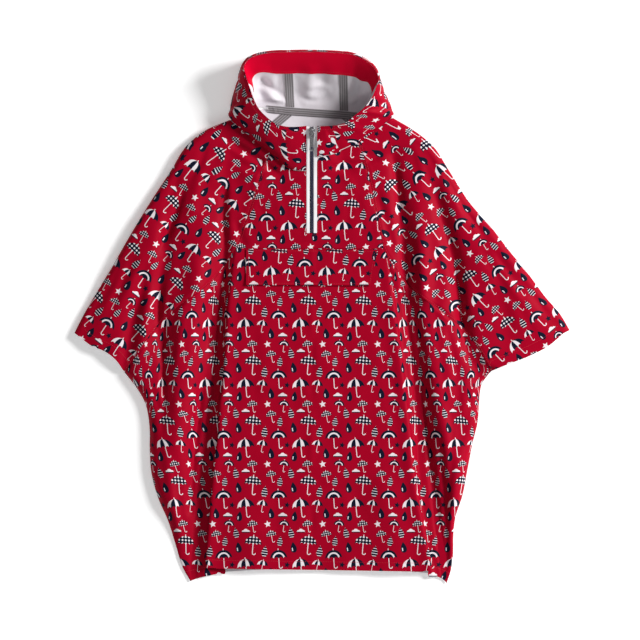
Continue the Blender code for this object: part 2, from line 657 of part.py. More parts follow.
def back_shares(shares):
    """Shares of the back raglan seam at which a sleeve's sections meet it."""
    ease = (shares - shares[0]) / (shares[-1] - shares[0])
    return 0.5 * ease + 0.5 * shares


def back_panel(shares_w, shares_e, count_top, rows):
    """Grid of the flat back, inside the front's outline."""
    west = PATHS["w"].back_raglan.at(back_shares(shares_w))[::-1]
    east = PATHS["e"].back_raglan.at(back_shares(shares_e))
    top = np.linspace(west[-1], east[0], count_top)[1:-1]
    crown = tuck(np.concatenate([west, top, east]), -SEAM / 2)
    hem_w = np.array([-193.0, -372.0])
    hem_e = np.array([182.5, -372.0])
    seam_w = PATHS["w"].side
    seam_e = PATHS["e"].side
    cols = len(crown)
    u = np.linspace(0.0, 1.0, cols)
    hem = hem_w + u[:, None] * (hem_e - hem_w)
    hem[:, 1] += 9.0 * np.sin(np.pi * u)
    span_w = seam_w.share_at_y(-372.0)
    span_e = seam_e.share_at_y(-372.0)
    v = np.linspace(0.0, 1.0, rows)
    left = seam_w.at(v * span_w)
    right = seam_e.at(v * span_e)
    left[0], right[0] = crown[0], crown[-1]
    hem[0], hem[-1] = left[-1], right[-1]
    plan = patch(left, right, crown, hem)
    ground = np.full(plan.shape[:2], CLOTH / 2)
    return np.concatenate([plan, ground[..., None]], axis=-1)


def flap_grid(cols, rows):
    """Grid of the pocket flap, on the front layer's height and moved out."""
    u = np.linspace(0.0, 1.0, cols)
    v = np.linspace(0.0, 1.0, rows)[:, None]
    west, east = FLAP_TOP
    low_east = east - FLAP_TAPER
    x = west + u * ((east + v * (low_east - east)) - west)
    y = TOP_ROW - 0.9 - u * 0.9 - v * FLAP_DROP
    z = front_height(x, y) + CLOTH + SEAM + 0.15
    return np.stack([x, y, z], axis=-1), field_normals(x, y)


# ---------------------------------------------------------------- hood

HOOD_DATA = np.array(HOOD, dtype=float)


def hood_station(u):
    """Row of the hood's table at a place between its stations."""
    i = int(np.clip(np.floor(u), 0, len(HOOD_DATA) - 2))
    t = u - i
    rows = [HOOD_DATA[max(i - 1, 0)], HOOD_DATA[i], HOOD_DATA[i + 1],
            HOOD_DATA[min(i + 2, len(HOOD_DATA) - 1)]]
    m1 = (rows[2] - rows[0]) / 2
    m2 = (rows[3] - rows[1]) / 2
    row = ((2 * t**3 - 3 * t**2 + 1) * rows[1] + (t**3 - 2 * t**2 + t) * m1
           + (3 * t**2 - 2 * t**3) * rows[2] + (t**3 - t**2) * m2)
    row[2] = rows[1][2] + t * (rows[2][2] - rows[1][2])
    return HoodStation(*row)


def bezier(a, b, c, d, t):
    """Points of a cubic curve."""
    t = np.asarray(t)[:, None]
    return (1 - t)**3 * a + 3 * (1 - t)**2 * t * b + 3 * (1 - t) * t**2 * c + t**3 * d


def resample(curve, lengths):
    """Points of a curve at these lengths; below zero is a share of what is left."""
    run = np.concatenate([[0.0], np.cumsum(np.linalg.norm(np.diff(curve, axis=0), axis=1))])
    spent = max([v for v in lengths if v > 0.0], default=0.0)
    at = [v if v >= 0.0 else spent - v * (run[-1] - spent) for v in lengths]
    return np.stack([np.interp(at, run, c) for c in curve.T], axis=-1)


def on_front(point):
    """The same point, lifted just clear of the front layer."""
    z = float(front_height(np.array(point[0]), np.array(point[1]))) + CLOTH / 2 + SEAM + 0.55
    return np.array([point[0], point[1], z])


TAPE_LIFT = 0.65     # middle of a tape over the cloth it covers
SIDE_TAPE_PLACES = (3.04, 3.5, 4.0, 4.5, 5.0, 5.4, 5.72)
NECK_TAPE_PLACES = (5.8, 6.0)
NECK_TAPE_DROP = 7.0
LINING_STEPS = (0.0, 2.0, FACING * 0.5, FACING, -0.33, -0.66, -1.0)
OUTER_STEPS = (0.0, -0.17, -0.34, -0.5, -0.67, -0.84, -1.0)


def hood_section(u, outer_steps=OUTER_STEPS, lining_steps=LINING_STEPS):
    """Closed section of the hood: outer curve, brim, lining curve, underside."""
    s = hood_station(u)
    up = np.array([0.0, 0.0, 1.0])
    o = on_front(np.array([s.ox, s.oy, 0.0])) * np.array([1.0, 1.0, 1.0 - s.ground])
    b = np.array([s.bx, s.by, s.bz])
    lean = np.array([s.bx - s.ox, s.by - s.oy, 0.0])
    lean_size = np.linalg.norm(lean)
    inward = np.array([s.fx - s.ox, s.fy - s.oy, 0.0])
    depth = np.linalg.norm(inward)
    thick = float(ramp((depth - 1.0) / 24.0))
    way = lean / lean_size if lean_size > 12.0 else inward / depth
    inward = way if depth < 3.0 else inward / depth
    tall = b[2] - o[2]
    t = np.linspace(0.0, 1.0, 33)
    outer = bezier(o, o - way * 1.6 * s.bulge + up * tall * 0.42,
                   b - way * (4.0 + 0.5 * s.bulge) - up * tall * 0.06, b, t)
    # A single wall: the outer curve moved in.
    step = np.gradient(outer, axis=0)
    step = step / np.linalg.norm(step, axis=1, keepdims=True)
    across = np.cross(step, np.cross(way, up))
    across = across * np.sign((across * (way - 0.8 * up)).sum(axis=1))[:, None]
    thin = outer + across * HOOD_WALL
    # The folded crown: the lining runs down from the brim to its inner end.
    heel = on_front(o + way * HOOD_WALL)
    f_low = heel + thick * (np.array([s.fx, s.fy, s.fz]) - heel)
    f_top = f_low + up * (0.35 + 1.05 * thick)
    reach = np.linalg.norm((f_top - b)[:2])
    b_in = b + way * HOOD_WALL * (1.0 - thick) + inward * HOOD_WALL * thick - up * 0.4
    spread = 0.42 * reach * s.ground
    thin = thin + (1.0 - t)[:, None] ** 2 * (f_top - thin[0])
    crown = bezier(f_top, f_top - inward * spread + up * (1.0 + 11.0 * (1.0 - s.ground)),
                   b_in + inward * min(spread, 34.0) - up * tall * 0.38, b_in, t)
    inner = thin + (crown - thin) * thick
    rim = b + way * HOOD_WALL * 0.5 + up * 0.5
    level = f_low - o
    size = max(np.linalg.norm(level[:2]), 0.1)
    on_seam = min(NECK_LAP + 1.2, 0.8 * size) / size
    share = on_seam + (0.6 - on_seam) * s.ground
    flat = np.array([1.0, 1.0, 1.0 - s.ground])
    far = on_front(o + level * share) * flat
    near = on_front(o + level * share * 0.5) * flat
    return np.concatenate([resample(outer, outer_steps), [rim],
                           resample(inner[::-1], lining_steps), [f_low, far, near]])


def swept(name, sections, finish, settling, angle=50.0):
    """Join closed sections into one body with a flat cap at each end.

    settling tells that the underside comes down to the ground along the sections.
    """
    count = len(sections[0])
    verts = [p for section in sections for p in section]
    faces = []
    for k in range(len(sections) - 1):
        for i in range(count):
            j = (i + 1) % count
            ring = [k * count + i, k * count + j, (k + 1) * count + j, (k + 1) * count + i]
            faces += split_quad(ring, i < len(OUTER_STEPS) or (settling and i > count - 4))
    last = (len(sections) - 1) * count
    for base in (0, last):
        # A cap is a ladder between the outer and the inner curve, closed at both ends.
        half = (count - 4) // 2
        inner = list(range(half + 1, 2 * half + 1))[::-1]
        for i in range(half - 1):
            faces.append([base + i, base + i + 1, base + inner[i + 1], base + inner[i]])
        faces.append([base + half - 1, base + half, base + inner[-1]])
        faces.append([base, base + inner[0]] + [base + k for k in range(2 * half + 1, count)])
    return body_from(name, verts, faces, finish, angle=angle)


def hood_piece(name, start, end, per_station):
    """One of the hood's three pieces."""
    count = int(round((end - start) * per_station)) + 1
    places = np.linspace(start, end, count)
    places[0] += HOOD_SEAM if start > 0 else 0.0
    places[-1] -= HOOD_SEAM if end < len(HOOD) - 1 else 0.0
    sections = [hood_section(u) for u in places]
    return swept(name, sections, RED, start == 0)


def lining(stations):
    """Grid of the lining at these stations, with its normals."""
    size = len(OUTER_STEPS) + 1
    rows = [hood_section(u)[size:size + len(LINING_STEPS)] for u in stations]
    grid = np.array(rows)
    n = grid_normals(grid)
    return grid, n * np.sign(n[..., 2:3] + 1e-9)


def along(grid, places):
    """Points between the columns of a grid, at these places counted in columns."""
    low = np.clip(np.floor(places).astype(int), 0, grid.shape[1] - 2)
    t = (np.asarray(places) - low)[None, :, None]
    return grid[:, low] * (1 - t) + grid[:, low + 1] * t


def side_tape(station):
    """Grid of the tape over a side seam of the hood, on its lining."""
    grid, n = lining([station - 0.5, station, station + 0.5])
    centre = along(grid, SIDE_TAPE_PLACES)
    out = along(n, SIDE_TAPE_PLACES)
    lines = []
    turned = []
    for side in (0, 1, 2):
        reach = np.linalg.norm(centre[side] - centre[1], axis=1)[:, None]
        share = SEAM_TAPE / 2 / np.maximum(reach, 1e-6)
        lines.append(centre[1] + (centre[side] - centre[1]) * (share if side != 1 else 0.0))
        turned.append(out[1])
    way = np.array(turned)
    way = way / np.linalg.norm(way, axis=-1, keepdims=True)
    return np.array(lines) + way * TAPE_LIFT, way


def neck_tape():
    """Grid of the tape over the neck seam, from the lining down on to the back."""
    grid, n = lining(np.arange(10.0, 17.01, 0.5))
    edge = along(grid, NECK_TAPE_PLACES)
    upper = edge[:, 0] + np.array([0.0, 0.0, TAPE_LIFT])
    middle = edge[:, 1] + np.array([0.0, -0.4, TAPE_LIFT])
    lower = edge[:, 1] + np.array([0.0, -NECK_TAPE_DROP, 0.0])
    lower[:, 2] = CLOTH + TAPE_LIFT
    tape = np.stack([upper, middle, lower], axis=1)
    way = grid_normals(tape)
    return tape, way * np.sign(way[..., 2:3])


# ---------------------------------------------------------------- zip

def zip_slope(y):
    """Slope of the zip along its length."""
    return float(zip_height(y + 1.0) - zip_height(y - 1.0)) / 2.0


def blocks(name, xs, ys, zs, filled, finish, hinge_z, bevel):
    """One body from the filled cells of a small lattice on the zip, its edges rounded.

    The lattice leans with the zip.  Its own origin is the hinge, hinge_z over its foot.
    """
    lean = np.arctan(zip_slope(SLIDER_Y))
    foot = np.array([ZIP_X, SLIDER_Y, float(zip_height(SLIDER_Y))])
    up = np.array([0.0, -np.sin(lean), np.cos(lean)])
    forth = np.array([0.0, np.cos(lean), np.sin(lean)])
    index = {}
    verts = []
    faces = []

    def corner(i, j, k):
        if (i, j, k) not in index:
            index[(i, j, k)] = len(verts)
            height = zs[k] + SLIDER_LIFT
            verts.append(foot + np.array([xs[i], 0.0, 0.0]) + forth * ys[j] + up * height)
        return index[(i, j, k)]

    shape = (len(xs) - 1, len(ys) - 1, len(zs) - 1)

    def solid(i, j, k):
        inside = 0 <= i < shape[0] and 0 <= j < shape[1] and 0 <= k < shape[2]
        return inside and filled(i, j, k)

    for i in range(shape[0]):
        for j in range(shape[1]):
            for k in range(shape[2]):
                if not solid(i, j, k):
                    continue
                if not solid(i - 1, j, k):
                    faces.append([corner(i, j, k), corner(i, j, k + 1),
                                  corner(i, j + 1, k + 1), corner(i, j + 1, k)])
                if not solid(i + 1, j, k):
                    faces.append([corner(i + 1, j, k), corner(i + 1, j + 1, k),
                                  corner(i + 1, j + 1, k + 1), corner(i + 1, j, k + 1)])
                if not solid(i, j - 1, k):
                    faces.append([corner(i, j, k), corner(i + 1, j, k),
                                  corner(i + 1, j, k + 1), corner(i, j, k + 1)])
                if not solid(i, j + 1, k):
                    faces.append([corner(i, j + 1, k), corner(i, j + 1, k + 1),
                                  corner(i + 1, j + 1, k + 1), corner(i + 1, j + 1, k)])
                if not solid(i, j, k - 1):
                    faces.append([corner(i, j, k), corner(i, j + 1, k),
                                  corner(i + 1, j + 1, k), corner(i + 1, j, k)])
                if not solid(i, j, k + 1):
                    faces.append([corner(i, j, k + 1), corner(i + 1, j, k + 1),
                                  corner(i + 1, j + 1, k + 1), corner(i, j + 1, k + 1)])
    hinge = foot + up * (hinge_z + SLIDER_LIFT)
    obj = body_from(name, verts, faces, finish, origin=hinge, angle=35.0)
    if bevel:
        rounding = obj.modifiers.new("rounded_edges", "BEVEL")
        rounding.width = bevel * MM
        rounding.segments = 1
        rounding.limit_method = "ANGLE"
        rounding.angle_limit = np.radians(40.0)
    return obj


def zip_strip(name, x0, x1, y0, y1, rows, size, lift, finish):
    """A strip along the zip, on the zip's own height."""
    y = np.linspace(y0, y1, rows)
    grid = np.zeros((rows, 2, 3))
    for j, x in enumerate((x0, x1)):
        grid[:, j, 0] = x
        grid[:, j, 1] = y
        grid[:, j, 2] = zip_height(y) + lift
    n = grid_normals(grid)
    n = n * np.sign(n[..., 2:3])
    return wall(name, grid, n, size, finish, angle=30.0)


def slider():
    """The zip's slider: a body over the coil, a flange at each side, a bridge on top."""
    xs = (-4.5, -3.2, -1.5, 1.5, 3.2, 4.5)
    ys = (-7.0, -4.8, -3.0, 3.0, 4.8, 7.0)
    zs = (-0.6, 0.0, 3.0, 5.6, 7.0)

    def filled(i, j, k):
        if k == 0:
            return i in (0, 4)
        if k == 1:
            return True
        if k == 2:
            return i == 2 and j in (1, 3)
        return i == 2 and 1 <= j <= 3

    blocks("slider", xs, ys, zs, filled, METAL, TAB_HINGE, 0.35)


def pull_tab():
    """The pull tab: a plate with a hole round the slider's bridge and a slot at its end."""
    xs = (-3.5, -2.0, 2.0, 3.5)
    ys = (-27.0, -24.4, -20.4, -6.6, -0.7, 0.7)
    zs = (TAB_HINGE - 0.6, TAB_HINGE + 0.6)

    def filled(i, j, k):
        return i != 1 or j not in (1, 3)

    blocks("pull_tab", xs, ys, zs, filled, METAL, TAB_HINGE, 0.3)


# ---------------------------------------------------------------- assembly

def build():
    """Build every piece of the garment."""
    for obj in list(bpy.data.objects):
        bpy.data.objects.remove(obj, do_unlink=True)

    front, tops, lines = lower_front(12, 12, 9, 21)
    n = grid_normals(front)
    if n[0, len(lines) // 2, 2] < 0:
        n = -n
    n[0] = field_normals(tops[:, 0], tops[:, 1])
    wall("front_lower", front, n, CLOTH, RED, low=CLOTH + SEAM)

    # The sleeves' seam points are the lower front's column tops, then the yoke's rows.
    west, east = PATHS["w"].raglan, PATHS["e"].raglan
    cut_w, cut_e = west.share_at_y(102.0), east.share_at_y(101.0)
    rows_y = 10
    shares_yw = np.linspace(0.0, cut_w, rows_y)
    shares_ye = np.linspace(0.0, cut_e, rows_y)
    on_w = [j for j, top in enumerate(tops) if top[0] < -100 and top[1] < 101.9]
    on_e = [j for j, top in enumerate(tops) if top[0] > 80 and top[1] < 100.9]
    shares_w = np.array(sorted(west.share_at_y(tops[j, 1]) for j in on_w))
    shares_e = np.array(sorted(east.share_at_y(tops[j, 1]) for j in on_e))
    shares_w = shares_w[np.concatenate([[True], np.diff(shares_w) > 0.02])]
    shares_e = shares_e[np.concatenate([[True], np.diff(shares_e) > 0.02])]
    joined = {}
    for half, shares in (("w", np.concatenate([shares_yw, shares_w])),
                         ("e", np.concatenate([shares_ye, shares_e]))):
        shares = shares[np.concatenate([[True], np.diff(shares) > 1e-4])]
        joined[half] = shares
        grid, n = sleeve(half, shares, 15, 4, 3)
        name = "sleeve_left" if half == "w" else "sleeve_right"
        wall(name, grid, n, CLOTH, RED, low=None)

    grid = yoke(shares_yw, shares_ye, 8, 7, 2)
    keep = np.ones((grid.shape[0] - 1, grid.shape[1] - 1), dtype=bool)
    keep[2:, 7] = False
    wall("front_yoke", grid, field_normals(grid[..., 0], grid[..., 1]), CLOTH, RED, keep=keep)

    grid = back_panel(joined["w"], joined["e"], 8, 4)
    n = np.zeros_like(grid)
    n[..., 2] = 1.0
    wall("back_body", grid, n, CLOTH, RED)

    grid, n = flap_grid(15, 6)
    wall("pocket_flap", grid, n, CLOTH, RED)

    hood_piece("hood_side_left", 0, HOOD_CUTS[0], 2)
    hood_piece("hood_centre", HOOD_CUTS[0], HOOD_CUTS[1], 2)
    hood_piece("hood_side_right", HOOD_CUTS[1], len(HOOD) - 1, 2)

    grid, n = lining(np.linspace(8.0, 18.5, 22))
    wall("hood_facing", grid[:, 1:4] + n[:, 1:4] * (SEAM + 0.65), n[:, 1:4], 0.9, RED_PLAIN,
         first=False)
    for name, station in (("hood_tape_left", HOOD_CUTS[0]), ("hood_tape_right", HOOD_CUTS[1])):
        grid, n = side_tape(station)
        wall(name, grid, n, TAPE_CLOTH, GREY_TAPE)
    grid, n = neck_tape()
    wall("neck_tape", grid, n, TAPE_CLOTH, GREY_TAPE)

    half_slit = ZIP_WIDTH / 2
    half_coil = COIL_WIDTH / 2
    zip_strip("zip_tape_left", ZIP_X - half_slit + SEAM, ZIP_X - half_coil - SEAM,
              ZIP_BOTTOM + SEAM, ZIP_TOP, 14, TAPE_WALL, 0.0, WHITE_TAPE)
    zip_strip("zip_tape_right", ZIP_X + half_coil + SEAM, ZIP_X + half_slit - SEAM,
              ZIP_BOTTOM + SEAM, ZIP_TOP, 14, TAPE_WALL, 0.0, WHITE_TAPE)
    zip_strip("zip_coil", ZIP_X - half_coil, ZIP_X + half_coil,
              ZIP_BOTTOM + SEAM, ZIP_TOP, 14, 1.8, 0.35, NAVY)
    slider()
    pull_tab()


build()
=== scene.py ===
"""Looks of a child's hooded half-zip rain poncho that lies flat on its back.

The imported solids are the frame.  Every panel is made again here as a fine shell of
coated cloth on its solid's own form, with its small creases, print, seams and stitching.
All tables and sizes are in millimetres; only the meshes themselves are in metres.
"""
import logging
import math
from dataclasses import dataclass, field
from enum import Enum
from typing import Callable, NamedTuple, Optional, Sequence

import bmesh
import bpy
import numpy as np
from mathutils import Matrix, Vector


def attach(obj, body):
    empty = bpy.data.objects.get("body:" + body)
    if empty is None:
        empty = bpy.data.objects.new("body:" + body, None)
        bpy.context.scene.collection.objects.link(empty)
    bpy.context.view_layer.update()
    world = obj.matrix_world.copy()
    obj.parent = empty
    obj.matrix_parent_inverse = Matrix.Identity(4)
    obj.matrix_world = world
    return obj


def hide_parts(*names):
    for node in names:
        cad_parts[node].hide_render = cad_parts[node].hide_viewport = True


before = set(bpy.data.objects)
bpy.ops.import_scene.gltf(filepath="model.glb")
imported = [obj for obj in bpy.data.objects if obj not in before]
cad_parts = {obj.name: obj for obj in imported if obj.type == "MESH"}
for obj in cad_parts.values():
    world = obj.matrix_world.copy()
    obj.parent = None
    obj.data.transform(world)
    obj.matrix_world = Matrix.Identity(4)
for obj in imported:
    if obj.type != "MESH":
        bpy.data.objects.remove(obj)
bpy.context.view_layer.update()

LOG = logging.getLogger("rain_poncho")
MM = 0.001
GARMENT = "garment"
ZIP_PULL = "zip_pull"
Points = np.ndarray


# ---- sizes and tables

CLOTH = 1.2
SEAM = 0.3
LOFT = 16.0
HEM_LOFT = 10.0
NECK_LOFT = 17.0
CUFF_LOFT = 10.0
SIDE_ROLL = 11.0
NECK_LAP = 3.0
HOOD_WALL = 1.7
ZIP_X = -14.8
ZIP_WIDTH = 15.6
ZIP_BOTTOM = 123.7
ZIP_TOP = 278.0
ZIP_RISE = 17.0
SLIDER_Y = 270.0
SLIDER_LIFT = 1.6
TAB_HINGE = 4.3
FLAP_TOP = (-110.0, 80.0)
FLAP_TAPER = 8.0
FLAP_DROP = 52.0
FACING = 29.0
FACING_DIP = 9.0
SEAM_TAPE = 12.5
POCKET_SEAM = (102.0, 101.0)
TOP_ROW = 101.5
LOW_ROW = -372.0
ROWS_LEVEL = 0.6
PLEAT_FORMING = 62.0
SLEEVE_ROLL = {"w": 8.0, "e": 10.0}
STITCH_LIFT = 0.45
# Where the front sinks or calms down: distance where that starts or ends, and its reach.
HEM_FALL = (210.0, 160.0)
CUFF_FALL = (270.0, 80.0)
NECK_CALM = (3.0, 26.0)
ZIP_CALM = (46.0, 30.0)
# Heights over the ground: bottom of the folds, side edges, lowest front, flat tapes.
FOLD_FLOOR = 3.6
EDGE_HEIGHT = 1.65
FRONT_FLOOR = 1.95
SLEEVE_FLOOR = 1.4
TAPE_HEIGHT = 1.40
HOOD_MIDDLE = (-12.0, 318.0)
HEM_CORNERS = (-193.0, 182.5)
# How far the print is moved on each panel, so that no two of them start alike.
PRINT_SHIFT = {"w": 31.0, "e": 58.0, "yoke": (17.0, 33.0), "back": (20.0, 11.0),
               "flap": (42.0, 12.0), "hood": (23.0, 47.0)}


class Fold(NamedTuple):
    """A soft fold: rise of its ridge, widths to either side, line, shares of it at the ends."""

    name: str
    rise: float
    west: float
    east: float
    line: tuple
    start: float = 0.0
    end: float = 0.0


FOLDS = tuple(Fold(*row) for row in (
    ("side_valley_w", -11.5, 15, 12,
     ((-146, 178), (-143, 82), (-157, 12), (-169, -90), (-178, -200), (-190, -385)), 0.25, 0.7),
    ("sleeve_valley_w", -6.5, 12, 11,
     ((-213, 186), (-226, 114), (-239, 27), (-235, -46), (-226, -95)), 0.3, 0.3),
    ("cuff_valley_w", -5.5, 11, 11, ((-249, 85), (-261, 41), (-273, -2), (-286, -70)), 0.2, 1.0),
    ("side_ridge_w", 7.0, 16, 14,
     ((-180, 150), (-184, 41), (-194, -60), (-207, -150), (-222, -262)), 0.2, 0.4),
    ("sleeve_ridge_w", 4.5, 11, 10, ((-226, 130), (-247, 60), (-256, -5), (-262, -60)), 0.1, 0.6),
    ("outer_ridge_w", 4.0, 18, 16, ((-215, 178), (-262, 85), (-308, 8), (-325, -30)), 0.5, 0.6),
    ("side_valley_low_w", -4.5, 9, 9, ((-243, -262), (-222, -300), (-200, -352)), 0.3, 0.6),
    ("shoulder_dip_w", -2.5, 16, 16, ((-150, 235), (-118, 180), (-121, 118)), 0.4, 0.3),
    ("side_valley_e", -11.0, 10, 13,
     ((104, 238), (111, 165), (121, 100), (127, 0), (139, -90), (157, -215), (181, -385)), 0.35, 0.7),
    ("sleeve_valley_e", -9.0, 10, 11,
     ((158, 222), (170, 165), (191, 85), (203, 0), (216, -48), (229, -88)), 0.3, 0.6),
    ("side_ridge_e", 8.0, 13, 13,
     ((140, 190), (146, 80), (148, 0), (160, -70), (176, -160), (196, -262)), 0.3, 0.3),
    ("outer_ridge_e", 4.5, 24, 24, ((200, 170), (238, 92), (286, 24), (322, -20)), 0.4, 0.7),
    ("outer_dip_e", -2.5, 14, 14, ((206, 190), (236, 110), (262, 30), (272, -40)), 0.2, 0.4),
    ("yoke_crease_e", -3.0, 8, 8, ((74, 196), (96, 130), (108, 84)), 0.3, 0.3),
    ("yoke_crease_w", -3.0, 7, 7, ((-128, 150), (-119, 122), (-112, 96)), 0.2, 0.3),
    ("hem_wave_w", 3.0, 26, 26, ((-110, -230), (-104, -300), (-100, -372)), 0.0, 1.0),
    ("hem_wave_e", 3.5, 28, 28, ((92, -210), (100, -290), (106, -372)), 0.0, 1.0),
    ("hem_dip", -2.0, 30, 30, ((-6, -240), (-4, -300), (-2, -372)), 0.0, 1.0),
))

# Small creases that only the looks have: lines a few millimetres wide.
CREASES = tuple(Fold(*row) for row in (
    ("neck_pull_w1", -1.3, 4, 6, ((-30, 208), (-52, 196), (-80, 192)), 0.1),
    ("neck_pull_w2", -1.6, 5, 5, ((-60, 216), (-84, 214), (-118, 226), (-140, 246)), 0.6),
    ("neck_pull_w3", 1.1, 5, 5, ((-70, 206), (-98, 206), (-130, 214)), 0.3),
    ("neck_pull_e1", -1.3, 5, 4, ((6, 226), (34, 216), (58, 214)), 0.4),
    ("neck_pull_e2", -1.5, 5, 5, ((60, 240), (82, 232), (104, 238), (128, 250)), 0.6),
    ("neck_pull_e3", 1.0, 5, 5, ((20, 214), (40, 200), (52, 180)), 0.2),
    ("shoulder_w1", -1.4, 7, 5, ((-166, 262), (-176, 226), (-196, 196))),
    ("shoulder_w2", 1.2, 7, 6, ((-140, 250), (-150, 214), (-168, 188))),
    ("shoulder_w3", -1.2, 6, 5, ((-206, 220), (-214, 186), (-236, 150))),
    ("shoulder_e1", -1.5, 6, 6, ((150, 250), (166, 214), (176, 176))),
    ("shoulder_e2", 1.3, 6, 7, ((128, 262), (142, 228), (150, 190))),
    ("shoulder_e3", -1.2, 5, 6, ((196, 190), (206, 150), (222, 116))),
    ("under_w1", -1.4, 5, 5, ((-214, 20), (-222, -24), (-240, -70))),
    ("under_w2", 1.2, 6, 5, ((-196, 34), (-204, -30), (-216, -84))),
    ("under_w3", -1.0, 4, 5, ((-250, -96), (-236, -130), (-230, -180))),
    ("under_e1", -1.4, 5, 5, ((176, 8), (186, -40), (198, -90))),
    ("under_e2", 1.2, 5, 6, ((212, -66), (206, -110), (204, -160))),
    ("under_e3", -1.1, 5, 5, ((184, -120), (188, -180), (186, -240))),
    ("yoke_1", -0.8, 6, 6, ((-100, 176), (-84, 150), (-80, 118))),
    ("yoke_2", 0.8, 7, 6, ((-66, 180), (-60, 150), (-64, 116))),
    ("yoke_3", -0.8, 6, 6, ((30, 186), (38, 156), (34, 120))),
    ("yoke_4", 0.8, 6, 7, ((56, 190), (64, 158), (66, 122))),
    ("pocket_1", -0.9, 9, 5, ((-108, 40), (-60, 34), (-10, 38))),
    ("pocket_2", 0.8, 9, 5, ((-30, 30), (20, 24), (74, 30))),
    ("front_1", -0.8, 12, 10, ((-96, 8), (-100, -60), (-96, -140))),
    ("front_2", 0.9, 14, 12, ((-40, -30), (-52, -110), (-48, -200))),
    ("front_3", -0.9, 12, 14, ((24, 10), (30, -90), (22, -180))),
    ("front_4", 0.8, 12, 12, ((76, -10), (84, -90), (96, -170))),
    ("front_5", -0.8, 14, 12, ((-60, -220), (-64, -290), (-58, -370)), 0.0, 0.3),
    ("front_6", -0.9, 12, 14, ((44, -220), (52, -300), (46, -370)), 0.0, 0.3),
    ("cross_1", 0.7, 8, 8, ((-112, -90), (-50, -104), (10, -96))),
    ("cross_2", -0.7, 8, 8, ((-30, -236), (40, -248), (104, -238))),
    ("cross_3", 0.6, 8, 8, ((-130, -300), (-70, -312), (-20, -304))),
    ("outer_w1", -1.2, 7, 7, ((-262, 108), (-286, 52), (-318, -10), (-334, -30)), 0.0, 0.2),
    ("outer_w2", -1.1, 6, 6, ((-292, 66), (-322, 26), (-346, -12)), 0.0, 0.2),
    ("outer_e1", -1.2, 7, 7, ((222, 120), (252, 66), (292, 6), (316, -36)), 0.0, 0.2),
    ("outer_e2", -1.1, 6, 6, ((268, 82), (304, 36), (336, -6)), 0.0, 0.2),
    ("side_w1", 1.3, 6, 6, ((-232, -150), (-222, -230), (-206, -320)), 0.0, 0.2),
    ("side_w2", -1.2, 5, 6, ((-214, -180), (-208, -260), (-196, -340)), 0.0, 0.2),
    ("side_e1", 1.2, 6, 6, ((206, -170), (192, -250), (182, -330)), 0.0, 0.2),
    ("side_e2", -1.1, 5, 5, ((190, -200), (180, -280), (176, -350)), 0.0, 0.2),
    ("deep_w1", -5.0, 5.5, 4,
     ((-140, 150), (-142, 55), (-148, -41), (-158, -110), (-165, -165), (-172, -225), (-182, -330),
      (-188, -378)), 0.3, 0.8),
    ("edge_w", 2.5, 5, 12,
     ((-124, 102), (-134, 40), (-140, -40), (-146, -104), (-152, -170), (-160, -250), (-167, -340),
      (-170, -375)), 0.2, 1.0),
    ("tuck_w", -4.5, 3.5, 4, ((-222, 30), (-229, -20), (-231, -80), (-228, -140)), 0.2, 0.2),
    ("ridge_w", 2.5, 10, 8, ((-200, 60), (-207, -20), (-212, -100), (-214, -170))),
    ("deep_w2", -4.5, 5, 4.5, ((-168, -60), (-178, -130), (-186, -200), (-192, -280)), 0.0, 0.4),
    ("mid_w", -3.2, 4.5, 5, ((-158, 60), (-162, 0), (-166, -60))),
    ("sleeve_w1", -4.2, 6, 5.5, ((-196, 206), (-208, 165), (-226, 120), (-246, 84))),
    ("sleeve_w2", -4.0, 5, 4.5, ((-232, 60), (-236, 20), (-236, -20), (-234, -60)), 0.0, 0.2),
    ("sleeve_w3", 2.6, 9, 9, ((-172, 226), (-184, 180), (-196, 130))),
    ("sleeve_w4", -2.4, 6, 7, ((-268, 96), (-290, 50), (-312, 6))),
    ("shoulder_deep_w", -4.5, 6, 4.5, ((-138, 206), (-142, 160), (-141, 110)), 0.1, 0.3),
    ("deep_e1", -5.0, 4, 5.5,
     ((118, 110), (124, 55), (136, 0), (146, -80), (152, -150), (160, -230), (170, -320),
      (178, -378)), 0.3, 0.8),
    ("edge_e", 2.5, 12, 5,
     ((92, 95), (104, 20), (112, -46), (122, -137), (130, -217), (140, -276), (150, -330),
      (160, -375)), 0.2, 1.0),
    ("deep_e2", -5.0, 5, 5, ((192, 90), (200, 41), (206, -28), (214, -60)), 0.1, 0.3),
    ("ridge_e", 2.5, 8, 9, ((170, 60), (176, 0), (184, -80), (188, -150))),
    ("low_e", -4.5, 4.5, 5, ((168, -150), (176, -230), (182, -292), (184, -361)), 0.0, 0.5),
    ("sleeve_e1", -4.6, 5, 6, ((168, 240), (186, 200), (214, 150), (244, 112))),
    ("sleeve_e2", 2.4, 9, 9, ((150, 246), (166, 206), (186, 160))),
    ("sleeve_e3", -2.6, 6, 7, ((246, 104), (276, 60), (300, 22))),
    ("shoulder_deep_e", -4.5, 4.5, 6, ((104, 236), (110, 190), (114, 150)), 0.1, 0.3),
    ("neck_deep_w", -5.5, 6, 6,
     ((-146, 264), (-124, 251), (-100, 236), (-78, 222), (-56, 206)), 0.1, 0.1),
    ("neck_deep_e", -3.2, 4, 4, ((22, 230), (44, 224), (70, 230), (96, 246)), 0.2, 0.1),
))


class Outline(NamedTuple):
    """The lines of one half of the garment, seen from above."""

    fold: tuple
    cuff: tuple
    side: tuple
    raglan: tuple
    back_raglan: tuple
    neck: tuple
    back_neck: tuple
    grain: tuple


